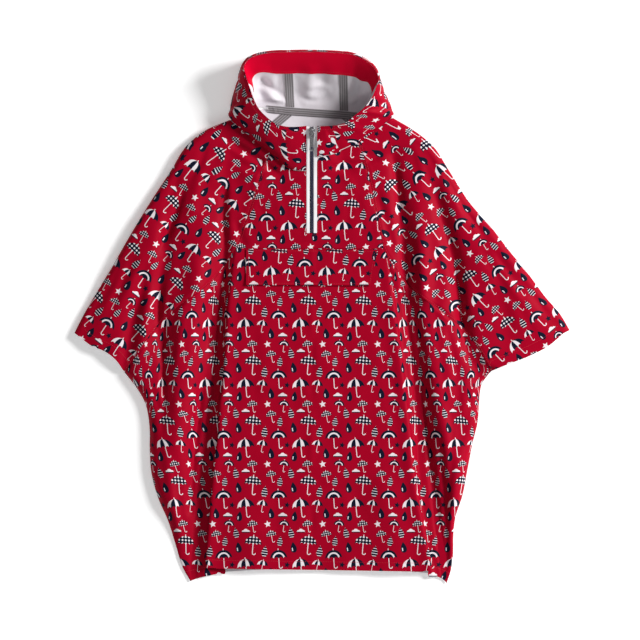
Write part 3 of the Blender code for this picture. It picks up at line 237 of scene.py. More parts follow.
WEST = Outline(
    fold=((-134.5, 288), (-170, 272.5), (-197, 250), (-219, 215), (-249, 169),
          (-277, 123), (-304, 76), (-325, 41), (-345, 7), (-359.4, -21)),
    cuff=((-359.4, -21), (-339, -36), (-316, -46), (-300, -59), (-287, -78)),
    side=((-287, -78), (-271, -98), (-257, -122), (-250.5, -156), (-250, -191),
          (-247.5, -225), (-238, -260), (-223, -295), (-212, -330), (-202, -362), (-191, -382)),
    raglan=((-74, 244.5), (-87, 213), (-100, 172), (-112, 137), (-125, 102),
            (-148, 69), (-173, 43), (-203, 22), (-232, -2), (-260, -38), (-287, -78)),
    back_raglan=((-86, 304.6), (-112, 225), (-142, 140), (-190, 60), (-240, -10), (-287, -78)),
    neck=((-22.6, 214), (-38, 214.5), (-52, 220), (-75, 241), (-96, 257), (-115, 273), (-134.5, 288)),
    back_neck=((-134.5, 288), (-104, 299), (-86, 304.6)),
    grain=((-50, 237), (-90, 218), (-132, 187), (-170, 146), (-210, 98),
           (-250, 48), (-290, -3), (-330, -54)),
)
EAST = Outline(
    fold=((103, 291), (133, 273), (161, 250), (184, 215), (215, 167),
          (245, 133), (271, 99), (299, 65), (325, 30), (345, 7), (359.4, -17)),
    cuff=((359.4, -17), (334, -38), (302, -54), (273, -65), (246, -76)),
    side=((246, -76), (232, -95), (228, -121), (226, -150), (219, -179),
          (211, -220), (203, -260), (194, -287), (190.5, -315), (190, -344), (186, -370), (181, -385)),
    raglan=((54, 257), (62, 230), (70, 200), (78, 160), (84, 128), (90, 101),
            (110, 68), (136, 38), (168, 15), (197, -8), (225, -38), (246, -76)),
    back_raglan=((62, 293.6), (88, 225), (112, 150), (152, 70), (200, 0), (246, -76)),
    neck=((-7.0, 234), (12, 237), (29, 243), (52, 254), (72, 269), (90, 281.5), (103, 291)),
    back_neck=((103, 291), (82, 292), (62, 293.6)),
    grain=((20, 238), (60, 220), (100, 190), (138, 150), (178, 103),
           (218, 53), (258, 4), (300, -46), (342, -96)),
)


class Pleat(NamedTuple):
    """A side pleat: its upper fold and how far the cloth runs back under it."""

    side: int
    edge: tuple
    lap: tuple
    hem_top: float
    hem_low: float


PLEATS = (
    Pleat(-1,
          ((102, -125), (70, -130.5), (12, -138), (-46, -141), (-104, -145), (-120, -149),
           (-170, -151), (-207, -157), (-259, -161.5), (-347, -168.5), (-375, -170)),
          ((102, -12), (60, -11), (12, -7), (-46, 0), (-104, 7), (-170, 14), (-260, 24), (-375, 30)),
          -362.0, -371.5),
    Pleat(1,
          ((101, 90), (70, 97), (20, 106), (-46, 114), (-137, 126), (-170, 130),
           (-217, 134), (-276, 143), (-317, 152), (-375, 162)),
          ((101, -12), (-46, -12), (-110, -10), (-170, -6), (-276, 0), (-375, 8)),
          -366.5, -375.0),
)
PLEAT_LEVELS = (0.0, 0.0, 0.07, 0.24, 0.40, 0.47, 0.53, 0.60, 0.76, 0.93, 1.0, 1.0)
HEM_LEVELS = (0.0, 0.0, 0.02, 0.40, 1.05, 1.08, 1.08, 1.06, 1.04, 1.0, 1.0, 1.0)
VALLEY_FOLDS = (0, 8)


class HoodStation(NamedTuple):
    """A section of the hood: lower outer edge o, brim b, inner end f of the lining."""

    ox: float
    oy: float
    ground: float
    bx: float
    by: float
    bz: float
    fx: float
    fy: float
    fz: float
    bulge: float


HOOD = tuple(HoodStation(*row) for row in (
    (-22.6, 214, 0, -22.6, 278, 36.0, -22.6, 214, 18.0, 0.0),
    (-38, 214.5, 0, -37, 276.5, 37.0, -38, 214.5, 18.0, 1.5),
    (-52, 220, 0, -53, 277, 38.5, -52, 220, 18.0, 2.5),
    (-75, 241, 0, -69, 282, 40.5, -74, 242, 18.0, 3.0),
    (-96, 257, 0, -83, 293, 43.5, -91, 264, 20.0, 3.0),
    (-115, 273, 0, -94, 305, 46, -103, 285, 9.0, 3.0),
    (-134.5, 292.5, 0, -101, 319, 48.5, -104, 302, 3.0, 3.0),
    (-133, 305, 1, -104.5, 330, 50, -98, 304.5, 1.6, 4.0),
    (-130, 322, 1, -108, 340, 52, -92, 307, 1.6, 4.0),
    (-123, 342, 1, -111.5, 352, 53.5, -86, 307.5, 1.6, 4.0),
    (-115, 360, 1, -113.5, 366, 54, -79, 306.5, 1.6, 3.0),
    (-101, 376, 1, -103, 378, 54.5, -70, 305, 1.6, 2.0),
    (-78, 383, 1, -79, 384.5, 54.5, -58, 304, 1.6, 1.5),
    (-50, 384.5, 1, -50, 386.2, 54.5, -46, 302.6, 1.6, 1.2),
    (-12, 384.5, 1, -12, 386.4, 54.5, -10, 300, 1.6, 1.2),
    (30, 383, 1, 30, 384.6, 54.5, 32, 297, 1.6, 1.2),
    (52, 378, 1, 52, 379.5, 54.5, 43, 296, 1.6, 1.5),
    (71, 364, 1, 73, 366, 54, 50, 295.7, 1.6, 2.5),
    (81, 347, 1, 82, 350, 53, 55, 295.5, 1.6, 3.5),
    (89, 330, 1, 80, 337, 51, 59, 295.3, 1.6, 4.0),
    (97, 315, 1, 74, 321, 49, 63, 295.2, 1.6, 4.0),
    (101, 303.5, 1, 66, 309, 47, 67, 295, 1.6, 4.0),
    (103, 294.5, 0, 58, 301, 45, 71, 293, 3.0, 3.0),
    (90, 281.5, 0, 48, 293, 43, 76, 286, 9.0, 3.0),
    (72, 269, 0, 37, 284, 41, 66, 273, 20.0, 3.0),
    (52, 254, 0, 24, 279.5, 39, 51, 255, 18.0, 2.5),
    (29, 243, 0, 10, 278, 37.5, 29, 243, 18.0, 2.0),
    (12, 237, 0, 1, 277.6, 36.5, 12, 237, 18.0, 1.0),
    (-7.0, 234, 0, -7.0, 278, 36.0, -7.0, 234, 18.0, 0.0),
))
HOOD_CUTS = (13, 15)
HOOD_SEAM = 0.005


# ---- lines and heights

def ramp(t: Points) -> Points:
    """Go smoothly from 0 to 1 as t does."""
    t = np.clip(t, 0.0, 1.0)
    return t * t * (3.0 - 2.0 * t)


def hermite(t: Points, a: Points, b: Points, leave: Points, arrive: Points) -> Points:
    """Smooth way from a to b as t goes from 0 to 1, with its slopes at both ends."""
    return ((2 * t**3 - 3 * t**2 + 1) * a + (t**3 - 2 * t**2 + t) * leave
            + (3 * t**2 - 2 * t**3) * b + (t**3 - t**2) * arrive)


def unit(vectors: Points) -> Points:
    """Vectors made one long."""
    return vectors / np.maximum(np.linalg.norm(vectors, axis=-1, keepdims=True), 1e-9)


def arc(points: Points, axis: int) -> Points:
    """Length run along an axis of a line or grid of points, starting at 0."""
    step = np.linalg.norm(np.diff(points, axis=axis), axis=-1)
    pad = [(0, 0)] * step.ndim
    pad[axis] = (1, 0)
    return np.pad(np.cumsum(step, axis=axis), pad)


def at_lengths(line: Points, lengths: Points, run: Optional[Points] = None) -> Points:
    """Points of a line where its run, the length unless given, has these values."""
    run = arc(line, 0) if run is None else run
    return np.stack([np.interp(lengths, run, c) for c in line.T], axis=-1)


class Path:
    """A smooth line through the points of a table, run by its length."""

    def __init__(self, points: Sequence, steps: int = 16) -> None:
        """Make the line.

        Args:
            points: the points that it runs through.
            steps: points of the line between two of them.
        """
        pts = np.array(points, dtype=float)
        knots = arc(pts, 0)
        slope = np.gradient(pts, knots, axis=0)
        dense = []
        for i, gap in enumerate(np.diff(knots)):
            t = np.linspace(0.0, 1.0, steps, endpoint=i == len(pts) - 2)[:, None]
            dense.append(hermite(t, pts[i], pts[i + 1], gap * slope[i], gap * slope[i + 1]))
        self.points = np.concatenate(dense)
        self.length = arc(self.points, 0)
        self.share = self.length / self.length[-1]
        pick = np.unique(np.append(np.arange(0, len(self.points), 4), len(self.points) - 1))
        self.coarse = (self.points[pick], self.share[pick])

    def at(self, share: Points) -> Points:
        """Points at these shares of the length."""
        return at_lengths(self.points, share, self.share)

    def x_at(self, y: Points) -> Points:
        """x where the line crosses these y, for a line that runs down."""
        return np.interp(-np.asarray(y), -self.points[:, 1], self.points[:, 0])

    def y_at(self, x: Points) -> Points:
        """y where the line crosses these x, for a line that runs sideways."""
        order = np.argsort(self.points[:, 0])
        return np.interp(x, self.points[order, 0], self.points[order, 1])

    def share_at_y(self, y: Points) -> Points:
        """Share of the length where the line crosses these y, for a line that runs down."""
        return np.interp(-np.asarray(y), -self.points[:, 1], self.share)

    def nearest(self, x: Points, y: Points) -> tuple:
        """Distance, side and share of the nearest place on the line.

        Args:
            x, y: arrays of the points that ask.

        Returns:
            The distance, the side from -1 to 1, and the share of the line's length.
        """
        pts, shares = self.coarse
        best = np.full(np.shape(x), 1e18)
        across, share = np.zeros(np.shape(x)), np.zeros(np.shape(x))
        for i, (dx, dy) in enumerate(np.diff(pts, axis=0)):
            vx, vy, size = x - pts[i, 0], y - pts[i, 1], dx * dx + dy * dy
            t = np.clip((vx * dx + vy * dy) / size, 0.0, 1.0)
            far = (vx - t * dx) ** 2 + (vy - t * dy) ** 2
            closer = far < best
            best = np.where(closer, far, best)
            across = np.where(closer, (dx * vy - dy * vx) / math.sqrt(size), across)
            share = np.where(closer, shares[i] + t * (shares[i + 1] - shares[i]), share)
        dist = np.sqrt(best)
        return dist, np.clip(across / np.maximum(dist, 1e-6), -1.0, 1.0), share


def lattice_noise(x: Points, y: Points, seed: int) -> Points:
    """Smooth noise from -1 to 1 that is the same in every run.

    Args:
        x, y: places, with one bump to each unit.
        seed: number that picks the pattern.

    Returns:
        The noise at those places.
    """
    ix, iy = np.floor(x), np.floor(y)
    fx, fy = ramp(x - ix), ramp(y - iy)

    def corner(i: Points, j: Points) -> Points:
        """Value at a corner of the lattice."""
        h = np.sin(i * 127.1 + j * 311.7 + seed * 74.7) * 43758.5453
        return 2.0 * (h - np.floor(h)) - 1.0

    low = corner(ix, iy) * (1 - fx) + corner(ix + 1, iy) * fx
    high = corner(ix, iy + 1) * (1 - fx) + corner(ix + 1, iy + 1) * fx
    return low * (1 - fy) + high * fy


def zip_height(y: Points) -> Points:
    """Height of the zip's tapes over the ground."""
    return NECK_LOFT + ZIP_RISE * ramp((np.asarray(y, dtype=float) - 196.0) / 96.0)


def relief(folds: Sequence, x: Points, y: Points) -> Points:
    """Height that folds add.

    Args:
        folds: pairs of a fold and its path.
        x, y: arrays of places on the ground.

    Returns:
        The height at each.
    """
    height = 0.0
    for fold, path in folds:
        dist, side, share = path.nearest(x, y)
        width = fold.west + (fold.east - fold.west) * (0.5 + 0.5 * side)
        fade = fold.start + (1 - fold.start) * ramp(share / 0.3)
        fade = fade * (fold.end + (1 - fold.end) * ramp((1 - share) / 0.3))
        height = height + fold.rise * fade * np.exp(-(dist / width) ** 2)
    return height


def with_paths(folds: Sequence[Fold]) -> list:
    """Pairs of a fold and its path."""
    return [(fold, Path(fold.line)) for fold in folds]


class FrontLayer:
    """The front of the garment as a height over the ground, with folds and creases."""

    def __init__(self) -> None:
        """Make the lines of its folds, creases and seams."""
        self.folds = with_paths(FOLDS)
        self.creases = with_paths(CREASES)
        self.lines = {half: Outline(*[Path(line) for line in outline])
                      for half, outline in (("w", WEST), ("e", EAST))}

    def plain(self, x: Points, y: Points) -> Points:
        """Height of the middle of the wall, with the large folds alone.

        Args:
            x, y: arrays of places on the ground.

        Returns:
            The height at each.
        """
        x, y = np.asarray(x, dtype=float), np.asarray(y, dtype=float)
        z = LOFT + (HEM_LOFT - LOFT) * ramp((-y - HEM_FALL[0]) / HEM_FALL[1])
        z = z + (CUFF_LOFT - LOFT) * ramp((np.abs(x) - CUFF_FALL[0]) / CUFF_FALL[1])
        z = z + relief(self.folds, x, y)
        z = np.where(z < FOLD_FLOOR, FOLD_FLOOR + 0.25 * (z - FOLD_FLOOR), z)
        for half in self.lines.values():
            far = half.neck.nearest(x, y)[0]
            z = NECK_LOFT + (z - NECK_LOFT) * ramp((far - NECK_CALM[0]) / NECK_CALM[1])
        near_zip = ramp((ZIP_CALM[0] - np.abs(x - ZIP_X)) / ZIP_CALM[1]) * ramp((y - 90.0) / 40.0)
        z = z + (zip_height(y) - z) * near_zip
        for half in self.lines.values():
            near = np.clip(half.side.nearest(x, y)[0] / SIDE_ROLL, 0.0, 1.0)
            z = EDGE_HEIGHT + (z - EDGE_HEIGHT) * np.sqrt(1.0 - (1.0 - near) ** 2)
        return z

    def detail(self, x: Points, y: Points) -> Points:
        """Small creases, seam puckers and the cloth's own unevenness.

        Args:
            x, y: arrays of places on the ground.

        Returns:
            The height to add at each.
        """
        z = 0.90 * lattice_noise(x / 46.0, y / 58.0, 3)
        z = z + 0.38 * lattice_noise(x / 19.0 + 0.4, y / 27.0, 11)
        z = z + 0.10 * lattice_noise(x / 8.0, y / 11.0 + 0.7, 23)
        z = z + relief(self.creases, x, y)
        calm = 1.0
        for half in self.lines.values():
            dist, _, share = half.raglan.nearest(x, y)
            run = share * half.raglan.length[-1]
            pucker = 0.35 * lattice_noise(run / 6.5, run * 0.0 + 5.0, 31)
            z = z + pucker * np.exp(-(dist / 7.0) ** 2)
            z = z + 0.35 * np.exp(-((dist - 4.0) / 3.0) ** 2)
            calm = calm * ramp((half.neck.nearest(x, y)[0] - 3.0) / 14.0)
            calm = calm * ramp(half.side.nearest(x, y)[0] / 12.0)
            off_seam = ramp((dist - 0.5) / 5.0)
            calm = calm * off_seam + 0.35 * (1 - off_seam)
        return z * calm * ramp((np.abs(x - ZIP_X) - ZIP_WIDTH / 2) / 8.0 + (y < 112.0) * 1.0)

    def fine(self, x: Points, y: Points) -> Points:
        """Height with everything in it."""
        return self.plain(x, y) + self.detail(np.asarray(x, float), np.asarray(y, float))

    def normals(self, x: Points, y: Points, step: float = 0.6) -> Points:
        """Upward normals of the layer at these places."""
        dx = (self.fine(x + step, y) - self.fine(x - step, y)) / (2 * step)
        dy = (self.fine(x, y + step) - self.fine(x, y - step)) / (2 * step)
        return unit(np.stack([-dx, -dy, np.ones_like(dx)], axis=-1))

    def on_top(self, x: float, y: float, lift: float = 0.55) -> Points:
        """A point just clear of the front layer's outer face."""
        return np.array([x, y, float(self.plain(x, y)) + CLOTH / 2 + SEAM + lift])


FRONT = FrontLayer()


def grid_normals(grid: Points, upward: bool = False) -> Points:
    """Normals of a grid of points, from the lines that cross at each, or all of them upward."""
    normals = unit(np.cross(np.gradient(grid, axis=0), np.gradient(grid, axis=1)))
    return normals * np.sign(normals[..., 2:3]) if upward else normals


def tuck(points: Points, distance: float) -> Points:
    """Move a line of seam points sideways in plan, to its left."""
    step = unit(np.gradient(points[:, :2], axis=0)) * distance
    moved = points.copy()
    moved[:, :2] += np.column_stack([-step[:, 1], step[:, 0]])
    return moved


def patch(left: Points, right: Points, lower: Points, upper: Points) -> Points:
    """Fill in plan the four lines round a patch.  Rows run from lower to upper."""
    u = np.linspace(0.0, 1.0, len(lower))[None, :, None]
    v = np.linspace(0.0, 1.0, len(left))[:, None, None]
    sides = (1 - u) * left[:, None, :] + u * right[:, None, :]
    ends = (1 - v) * lower[None, :, :] + v * upper[None, :, :]
    return sides + ends - ((1 - u) * (1 - v) * left[0] + u * (1 - v) * right[0]
                           + (1 - u) * v * left[-1] + u * v * right[-1])


# ---- material tools

def feed(tree: bpy.types.NodeTree, socket: bpy.types.NodeSocket, value: object) -> None:
    """Lead a wire or an output to an input socket, or set its value."""
    if isinstance(value, Wire):
        value = value.socket
    if isinstance(value, bpy.types.NodeSocket):
        tree.links.new(value, socket)
    else:
        socket.default_value = value


def math_method(kind: str, flipped: bool = False) -> Callable:
    """Make a method of Wire that adds one Math node.

    Args:
        kind: the node's operation.
        flipped: whether the other value comes first.

    Returns:
        The method.
    """
    def method(self: "Wire", *others: object) -> "Wire":
        """Add the node to this wire and the other values."""
        return self.math(kind, *others, self) if flipped else self.math(kind, self, *others)

    return method


class Wire:
    """An output socket with arithmetic, so that a node chain reads as a formula."""

    def __init__(self, tree: bpy.types.NodeTree, socket: bpy.types.NodeSocket) -> None:
        """Wrap one output socket of a node tree."""
        self.tree = tree
        self.socket = socket

    def math(self, kind: str, *values: object) -> "Wire":
        """Add one Math node.

        Args:
            kind: the node's operation.
            values: wires or numbers for its inputs.

        Returns:
            The wire of its result.
        """
        node = self.tree.nodes.new("ShaderNodeMath")
        node.operation = kind
        for slot, value in zip(node.inputs, values):
            feed(self.tree, slot, value)
        return Wire(self.tree, node.outputs[0])

    __add__ = math_method("ADD")
    __sub__ = math_method("SUBTRACT")
    __rsub__ = math_method("SUBTRACT", flipped=True)
    __mul__ = math_method("MULTIPLY")
    __truediv__ = math_method("DIVIDE")
    fract = math_method("FRACT")
    abs = math_method("ABSOLUTE")
    sin = math_method("SINE")
    most = math_method("MAXIMUM")
    # 1 where this is below a limit, above it, or within reach of a value, else 0.
    below = math_method("LESS_THAN")
    above = math_method("GREATER_THAN")
    near = math_method("COMPARE")

    def root(self) -> "Wire":
        """Square root of what is not below zero."""
        return self.math("SQRT", self.most(0.0))


def add_node(tree: bpy.types.NodeTree, kind: str, **inputs: object) -> bpy.types.Node:
    """Add a node to a tree.

    Args:
        tree: the tree.
        kind: the node's type.
        inputs: wires, sockets or values for inputs; an underscore stands for a space.

    Returns:
        The node.
    """
    node = tree.nodes.new(kind)
    for key, value in inputs.items():
        feed(tree, node.inputs[key.replace("_", " ")], value)
    return node


def add_noise(tree: bpy.types.NodeTree, place: object, **inputs: float) -> Wire:
    """Add a noise texture at a place, and give the wire of its value."""
    return Wire(tree, add_node(tree, "ShaderNodeTexNoise", Vector=place, **inputs).outputs[0])


def plan_of(tree: bpy.types.NodeTree, place: object) -> tuple:
    """Wires of a place's first two coordinates."""
    split = add_node(tree, "ShaderNodeSeparateXYZ", Vector=place)
    return Wire(tree, split.outputs[0]), Wire(tree, split.outputs[1])


def mix_colors(share: Wire, a: object, b: object) -> bpy.types.NodeSocket:
    """Mix two colours.

    Args:
        share: 0 for the first colour and 1 for the second.
        a, b: sockets or colours.

    Returns:
        The socket of the mixed colour.
    """
    node = share.tree.nodes.new("ShaderNodeMix")
    node.data_type = "RGBA"
    for index, value in ((0, share), (6, a), (7, b)):
        feed(share.tree, node.inputs[index], value)
    return node.outputs[2]


class ShaderGroup:
    """A node group that is made once, with named inputs and outputs."""

    def __init__(self, name: str, inputs: dict, outputs: dict) -> None:
        """Open the group and make its sockets.

        Args:
            name: the group's name.
            inputs: start value of each input; a colour or vector is a tuple.
            outputs: "Float" or "Color" for each output.
        """
        self.tree = bpy.data.node_groups.new(name, "ShaderNodeTree")
        for label, value in inputs.items():
            kind = {1: "Float", 3: "Vector", 4: "Color"}[np.size(value)]
            socket = self.tree.interface.new_socket(label, in_out="INPUT",
                                                    socket_type="NodeSocket" + kind)
            socket.default_value = value
        for label, kind in outputs.items():
            self.tree.interface.new_socket(label, in_out="OUTPUT",
                                           socket_type="NodeSocket" + kind)
        self.source = self.tree.nodes.new("NodeGroupInput")
        self.sink = self.tree.nodes.new("NodeGroupOutput")

    def input(self, name: str) -> Wire:
        """The wire of one named input."""
        return Wire(self.tree, self.source.outputs[name])

    def give(self, name: str, wire: Wire) -> None:
        """Lead a wire to one named output."""
        self.tree.links.new(wire.socket, self.sink.inputs[name])

    def use(self, tree: bpy.types.NodeTree, **inputs: object) -> bpy.types.Node:
        """Place the group in a material's tree, with sockets or values for its inputs."""
        node = tree.nodes.new("ShaderNodeGroup")
        node.node_tree = self.tree
        for key, value in inputs.items():
            feed(tree, node.inputs[key], value)
        return node


# ---- finishes

class Figure(Enum):
    """The kinds of figure that the print has."""

    UMBRELLA = "umbrella"
    DROP = "raindrop"
    STAR = "star"
    CLOUD = "cloud"


class Printed(NamedTuple):
    """One figure in the print's repeat: its place, half width, tilt and style."""

    x: float
    y: float
    size: float
    tilt: float
    style: int


REPEAT = (80.0, 87.0)
PRINT = {
    Figure.UMBRELLA: (
        (49.5, 73.7, 12.4, 6.0, 0), (59.7, 19.7, 12.4, -5.0, 1), (17.1, 86.5, 12.4, 4.0, 2),
        (73.2, 76.1, 7.9, -10.0, 0), (59.3, 46.6, 7.9, 9.0, 1), (24.5, 47.4, 7.9, -8.0, 2),
        (6.7, 31.9, 7.9, 11.0, 1)),
    Figure.DROP: (
        (38.6, 15.9, 7.9, 8.0, 0), (76.7, 10.1, 7.9, -9.0, 1), (40.0, 61.2, 7.4, -7.0, 0),
        (34.9, 37.0, 7.4, 10.0, 1), (6.0, 65.5, 7.9, 6.0, 0), (19.0, 24.9, 7.0, -8.0, 1)),
    Figure.STAR: ((0.9, 49.7, 5.3, 10.0, 0), (29.2, 77.3, 4.8, -14.0, 1)),
    Figure.CLOUD: ((22.8, 61.3, 7.2, 0.0, 0), (49.1, 38.5, 6.5, 0.0, 0)),
}
# Box that a figure stays in, in half widths: middle of its height, reach across, reach up.
FIGURE_BOX = {
    Figure.UMBRELLA: (-0.05, 1.08, 1.28),
    Figure.DROP: (0.0, 0.75, 1.05),
    Figure.STAR: (0.0, 1.05, 1.05),
    Figure.CLOUD: (0.1, 1.05, 0.75),
}


class PrintPattern:
    """The cloth's print, drawn by formulas: umbrellas, drops, stars and clouds."""

    def __init__(self) -> None:
        """Build the node group with a white mask and a navy mask."""
        self.group = ShaderGroup("rain_print", {"Flat": (0.0, 0.0, 0.0)},
                                 {"White": "Float", "Navy": "Float"})
        plan = plan_of(self.group.tree, self.group.input("Flat"))
        self.u, self.v = [part * 1000.0 for part in plan]
        parts = [draw(*self.placed(figure)) for figure, draw in (
            (Figure.UMBRELLA, self.umbrella), (Figure.DROP, self.drop),
            (Figure.STAR, self.star), (Figure.CLOUD, self.cloud))]
        for name, (a, b, c, d) in zip(("White", "Navy"), zip(*parts)):
            self.group.give(name, a.most(b).most(c.most(d)))

    def placed(self, figure: Figure) -> tuple:
        """Coordinates of the figure of one kind that this spot is in.

        Args:
            figure: the kind.

        Returns:
            Wires for x and y in half widths, far off where there is none, and its style.
        """
        middle, reach_x, reach_y = FIGURE_BOX[figure]
        total = None
        for spot in [Printed(*row) for row in PRINT[figure]]:
            dx, dy = [part.math("WRAP", part - at, size / 2, -size / 2) for part, at, size in
                      ((self.u, spot.x, REPEAT[0]), (self.v, spot.y, REPEAT[1]))]
            c = math.cos(math.radians(spot.tilt)) / spot.size
            s = math.sin(math.radians(spot.tilt)) / spot.size
            x, y = dx * c + dy * s, dy * c - dx * s
            inside = x.near(0.0, reach_x) * y.near(middle, reach_y)
            parts = (x * inside, y * inside, inside * spot.style, inside)
            total = parts if total is None else [a + b for a, b in zip(total, parts)]
        x_sum, y_sum, style, hit = total
        away = (1.0 - hit) * 9.0
        return x_sum + away, y_sum + away, style

    @staticmethod
    def umbrella(x: Wire, y: Wire, style: Wire) -> tuple:
        """White and navy parts of the umbrellas."""
        far = x * x + y * y
        scallop = (x * (2.0 * math.pi)).sin().abs() * 0.17
        canopy = far.below(1.0) * y.above(scallop)
        gore = x / (1.0 - y * y).root().most(0.05)
        panels = gore.fract().below(0.44)
        dot_x = (x * 2.6 + 0.5).fract() - 0.5
        dot_y = (y * 2.6 + 0.2).fract() - 0.5
        dots = (dot_x * dot_x + dot_y * dot_y).below(0.085)
        band = far.near(0.42, 0.12)
        light = panels * style.near(0.0, 0.4) + dots * style.near(1.0, 0.4)
        light = (light + band * style.near(2.0, 0.4)) * canopy
        stick = x.near(0.0, 0.045) * y.near(-0.47, 0.52)
        tip = x.near(0.0, 0.045) * y.near(1.08, 0.10)
        hook_x, hook_y = x - 0.18, y + 0.97
        ring = (hook_x * hook_x + hook_y * hook_y).root().near(0.18, 0.048)
        hook = ring * hook_y.below(0.0)
        return light.most(stick.most(tip)).most(hook), canopy - light

    @staticmethod
    def drop(x: Wire, y: Wire, style: Wire) -> tuple:
        """White and navy parts of the raindrops."""
        half = (1.0 - y) * ((y + 1.0) * 0.5).root() * 0.74
        body = x.abs().below(half) * y.near(0.0, 0.99)
        stripe = (y * 2.2).fract().below(0.27)
        glint = (x + 0.24).abs().below(0.09) * y.near(-0.36, 0.30)
        navy = body * (1.0 - stripe * style) * (1.0 - glint * (1.0 - style))
        return body - navy, navy

    @staticmethod
    def star(x: Wire, y: Wire, style: Wire) -> tuple:
        """White and navy parts of the stars."""
        size = (x * x + y * y).root()
        turn = x.math("ARCTAN2", x, y)
        turn = turn.math("WRAP", turn, math.pi / 5, -math.pi / 5).abs()
        side = turn.math("COSINE", turn) * size * 0.2645 + turn.sin() * size * 0.636
        body = side.below(0.2645)
        navy = body * style
        return body - navy, navy

    @staticmethod
    def cloud(x: Wire, y: Wire, style: Wire) -> tuple:
        """White and navy parts of the clouds, which have one style."""
        puffs = []
        for px, py, radius in ((-0.52, 0.0, 0.36), (0.0, 0.18, 0.50), (0.52, 0.0, 0.40)):
            qx, qy = x - px, y - py
            puffs.append((qx * qx + qy * qy).below(radius * radius))
        shape = puffs[0].most(puffs[1]).most(puffs[2]) * y.above(-0.2)
        navy = shape * y.below(0.02)
        return shape - navy, navy


class ClothGrain:
    """Weave, soft crinkle and uneven colour, shared by all cloth."""

    def __init__(self) -> None:
        """Build the node group."""
        self.group = ShaderGroup(
            "cloth_grain",
            {"Color": (1.0, 1.0, 1.0, 1.0), "Flat": (0.0, 0.0, 0.0), "Thread": 0.0005,
             "Crinkle": 1.0, "Unevenness": 0.06, "Gloss": 0.5},
            {"Color": "Color", "Roughness": "Float", "Height": "Float"})
        tree, given = self.group.tree, self.group.input
        u, v = [(part / given("Thread") * math.pi).sin() for part in plan_of(tree, given("Flat"))]
        weave = u * v * 0.5 + 0.5
        wide = add_noise(tree, given("Flat"), Scale=34.0, Detail=3.0, Roughness=0.55)
        small = add_noise(tree, given("Flat"), Scale=190.0, Detail=4.0, Roughness=0.6)
        self.group.give("Height", weave * 0.10 + small * 0.25 * given("Crinkle")
                        + wide * 0.8 * given("Crinkle"))
        shade = (wide - 0.5) * given("Unevenness") * 2.0 + (weave - 0.5) * 0.05 + 1.0
        shaded = tree.nodes.new("ShaderNodeVectorMath")
        shaded.operation = "SCALE"
        feed(tree, shaded.inputs[0], given("Color"))
        feed(tree, shaded.inputs["Scale"], shade)
        self.group.give("Color", Wire(tree, shaded.outputs[0]))
        self.group.give("Roughness", given("Gloss") + (small - 0.5) * 0.14 + (wide - 0.5) * 0.10)


RAIN_PRINT = PrintPattern()
CLOTH_GRAIN = ClothGrain()


class Slot(Enum):
    """The record's material slots."""

    PRINTED = "printed_cloth"
    PLAIN = "plain_cloth"
    SEAM_TAPE = "seam_tape"
    ZIP_TAPE = "zip_tape"
    ZIP_COIL = "zip_coil"
    METAL = "zip_metal"


RED = (0.358, 0.0003, 0.0160, 1.0)
NAVY = (0.0060, 0.0080, 0.0220, 1.0)
WHITE = (0.800, 0.735, 0.765, 1.0)
LINING_WHITE = (0.740, 0.700, 0.740, 1.0)


def end_shader(shader: bpy.types.Node, color: object, roughness: object, bump: bpy.types.Node) -> None:
    """Lead colour, roughness and bump to a material's shader."""
    for name, value in (("Base Color", color), ("Roughness", roughness), ("Normal", bump.outputs[0])):
        feed(shader.id_data, shader.inputs[name], value)


@dataclass(frozen=True)
class ClothFinish:
    """A cloth: its colour or print, gloss, weave and how crinkled it is."""

    name: str
    slot: Slot
    color: tuple
    printed: bool = False
    roughness: float = 0.5
    sheen: float = 0.0
    shine: float = 0.04
    thread: float = 0.00045
    crinkle: float = 0.6
    unevenness: float = 0.06
    lines: float = 0.0

    def make(self) -> bpy.types.Material:
        """Build the cloth's material."""
        material = bpy.data.materials.new(self.name)
        material.use_nodes = True
        tree = material.node_tree
        shader = tree.nodes["Principled BSDF"]
        shader.inputs["Sheen Weight"].default_value = self.sheen
        shader.inputs["Sheen Roughness"].default_value = 0.5
        shader.inputs["Specular IOR Level"].default_value = self.shine
        flat = tree.nodes.new("ShaderNodeUVMap")
        flat.uv_map = "flat_cloth"
        color: object = self.color
        if self.printed:
            drawn = RAIN_PRINT.group.use(tree, Flat=flat.outputs[0])
            for mask, ink in (("Navy", NAVY), ("White", WHITE)):
                color = mix_colors(Wire(tree, drawn.outputs[mask]), color, ink)
        elif self.lines:
            across = plan_of(tree, flat.outputs[0])[0] * 1000.0
            line = (across / self.lines).fract().near(0.5, 0.15)
            dark = tuple(0.36 * c for c in self.color[:3]) + (1.0,)
            color = mix_colors(line, color, dark)
        grain = CLOTH_GRAIN.group.use(tree, Color=color, Flat=flat.outputs[0],
                                      Thread=self.thread, Crinkle=self.crinkle,
                                      Unevenness=self.unevenness, Gloss=self.roughness)
        bump = add_node(tree, "ShaderNodeBump", Height=grain.outputs["Height"])
        bump.inputs["Strength"].default_value = 0.5
        bump.inputs["Distance"].default_value = 0.0007
        end_shader(shader, grain.outputs["Color"], grain.outputs["Roughness"], bump)
        return material


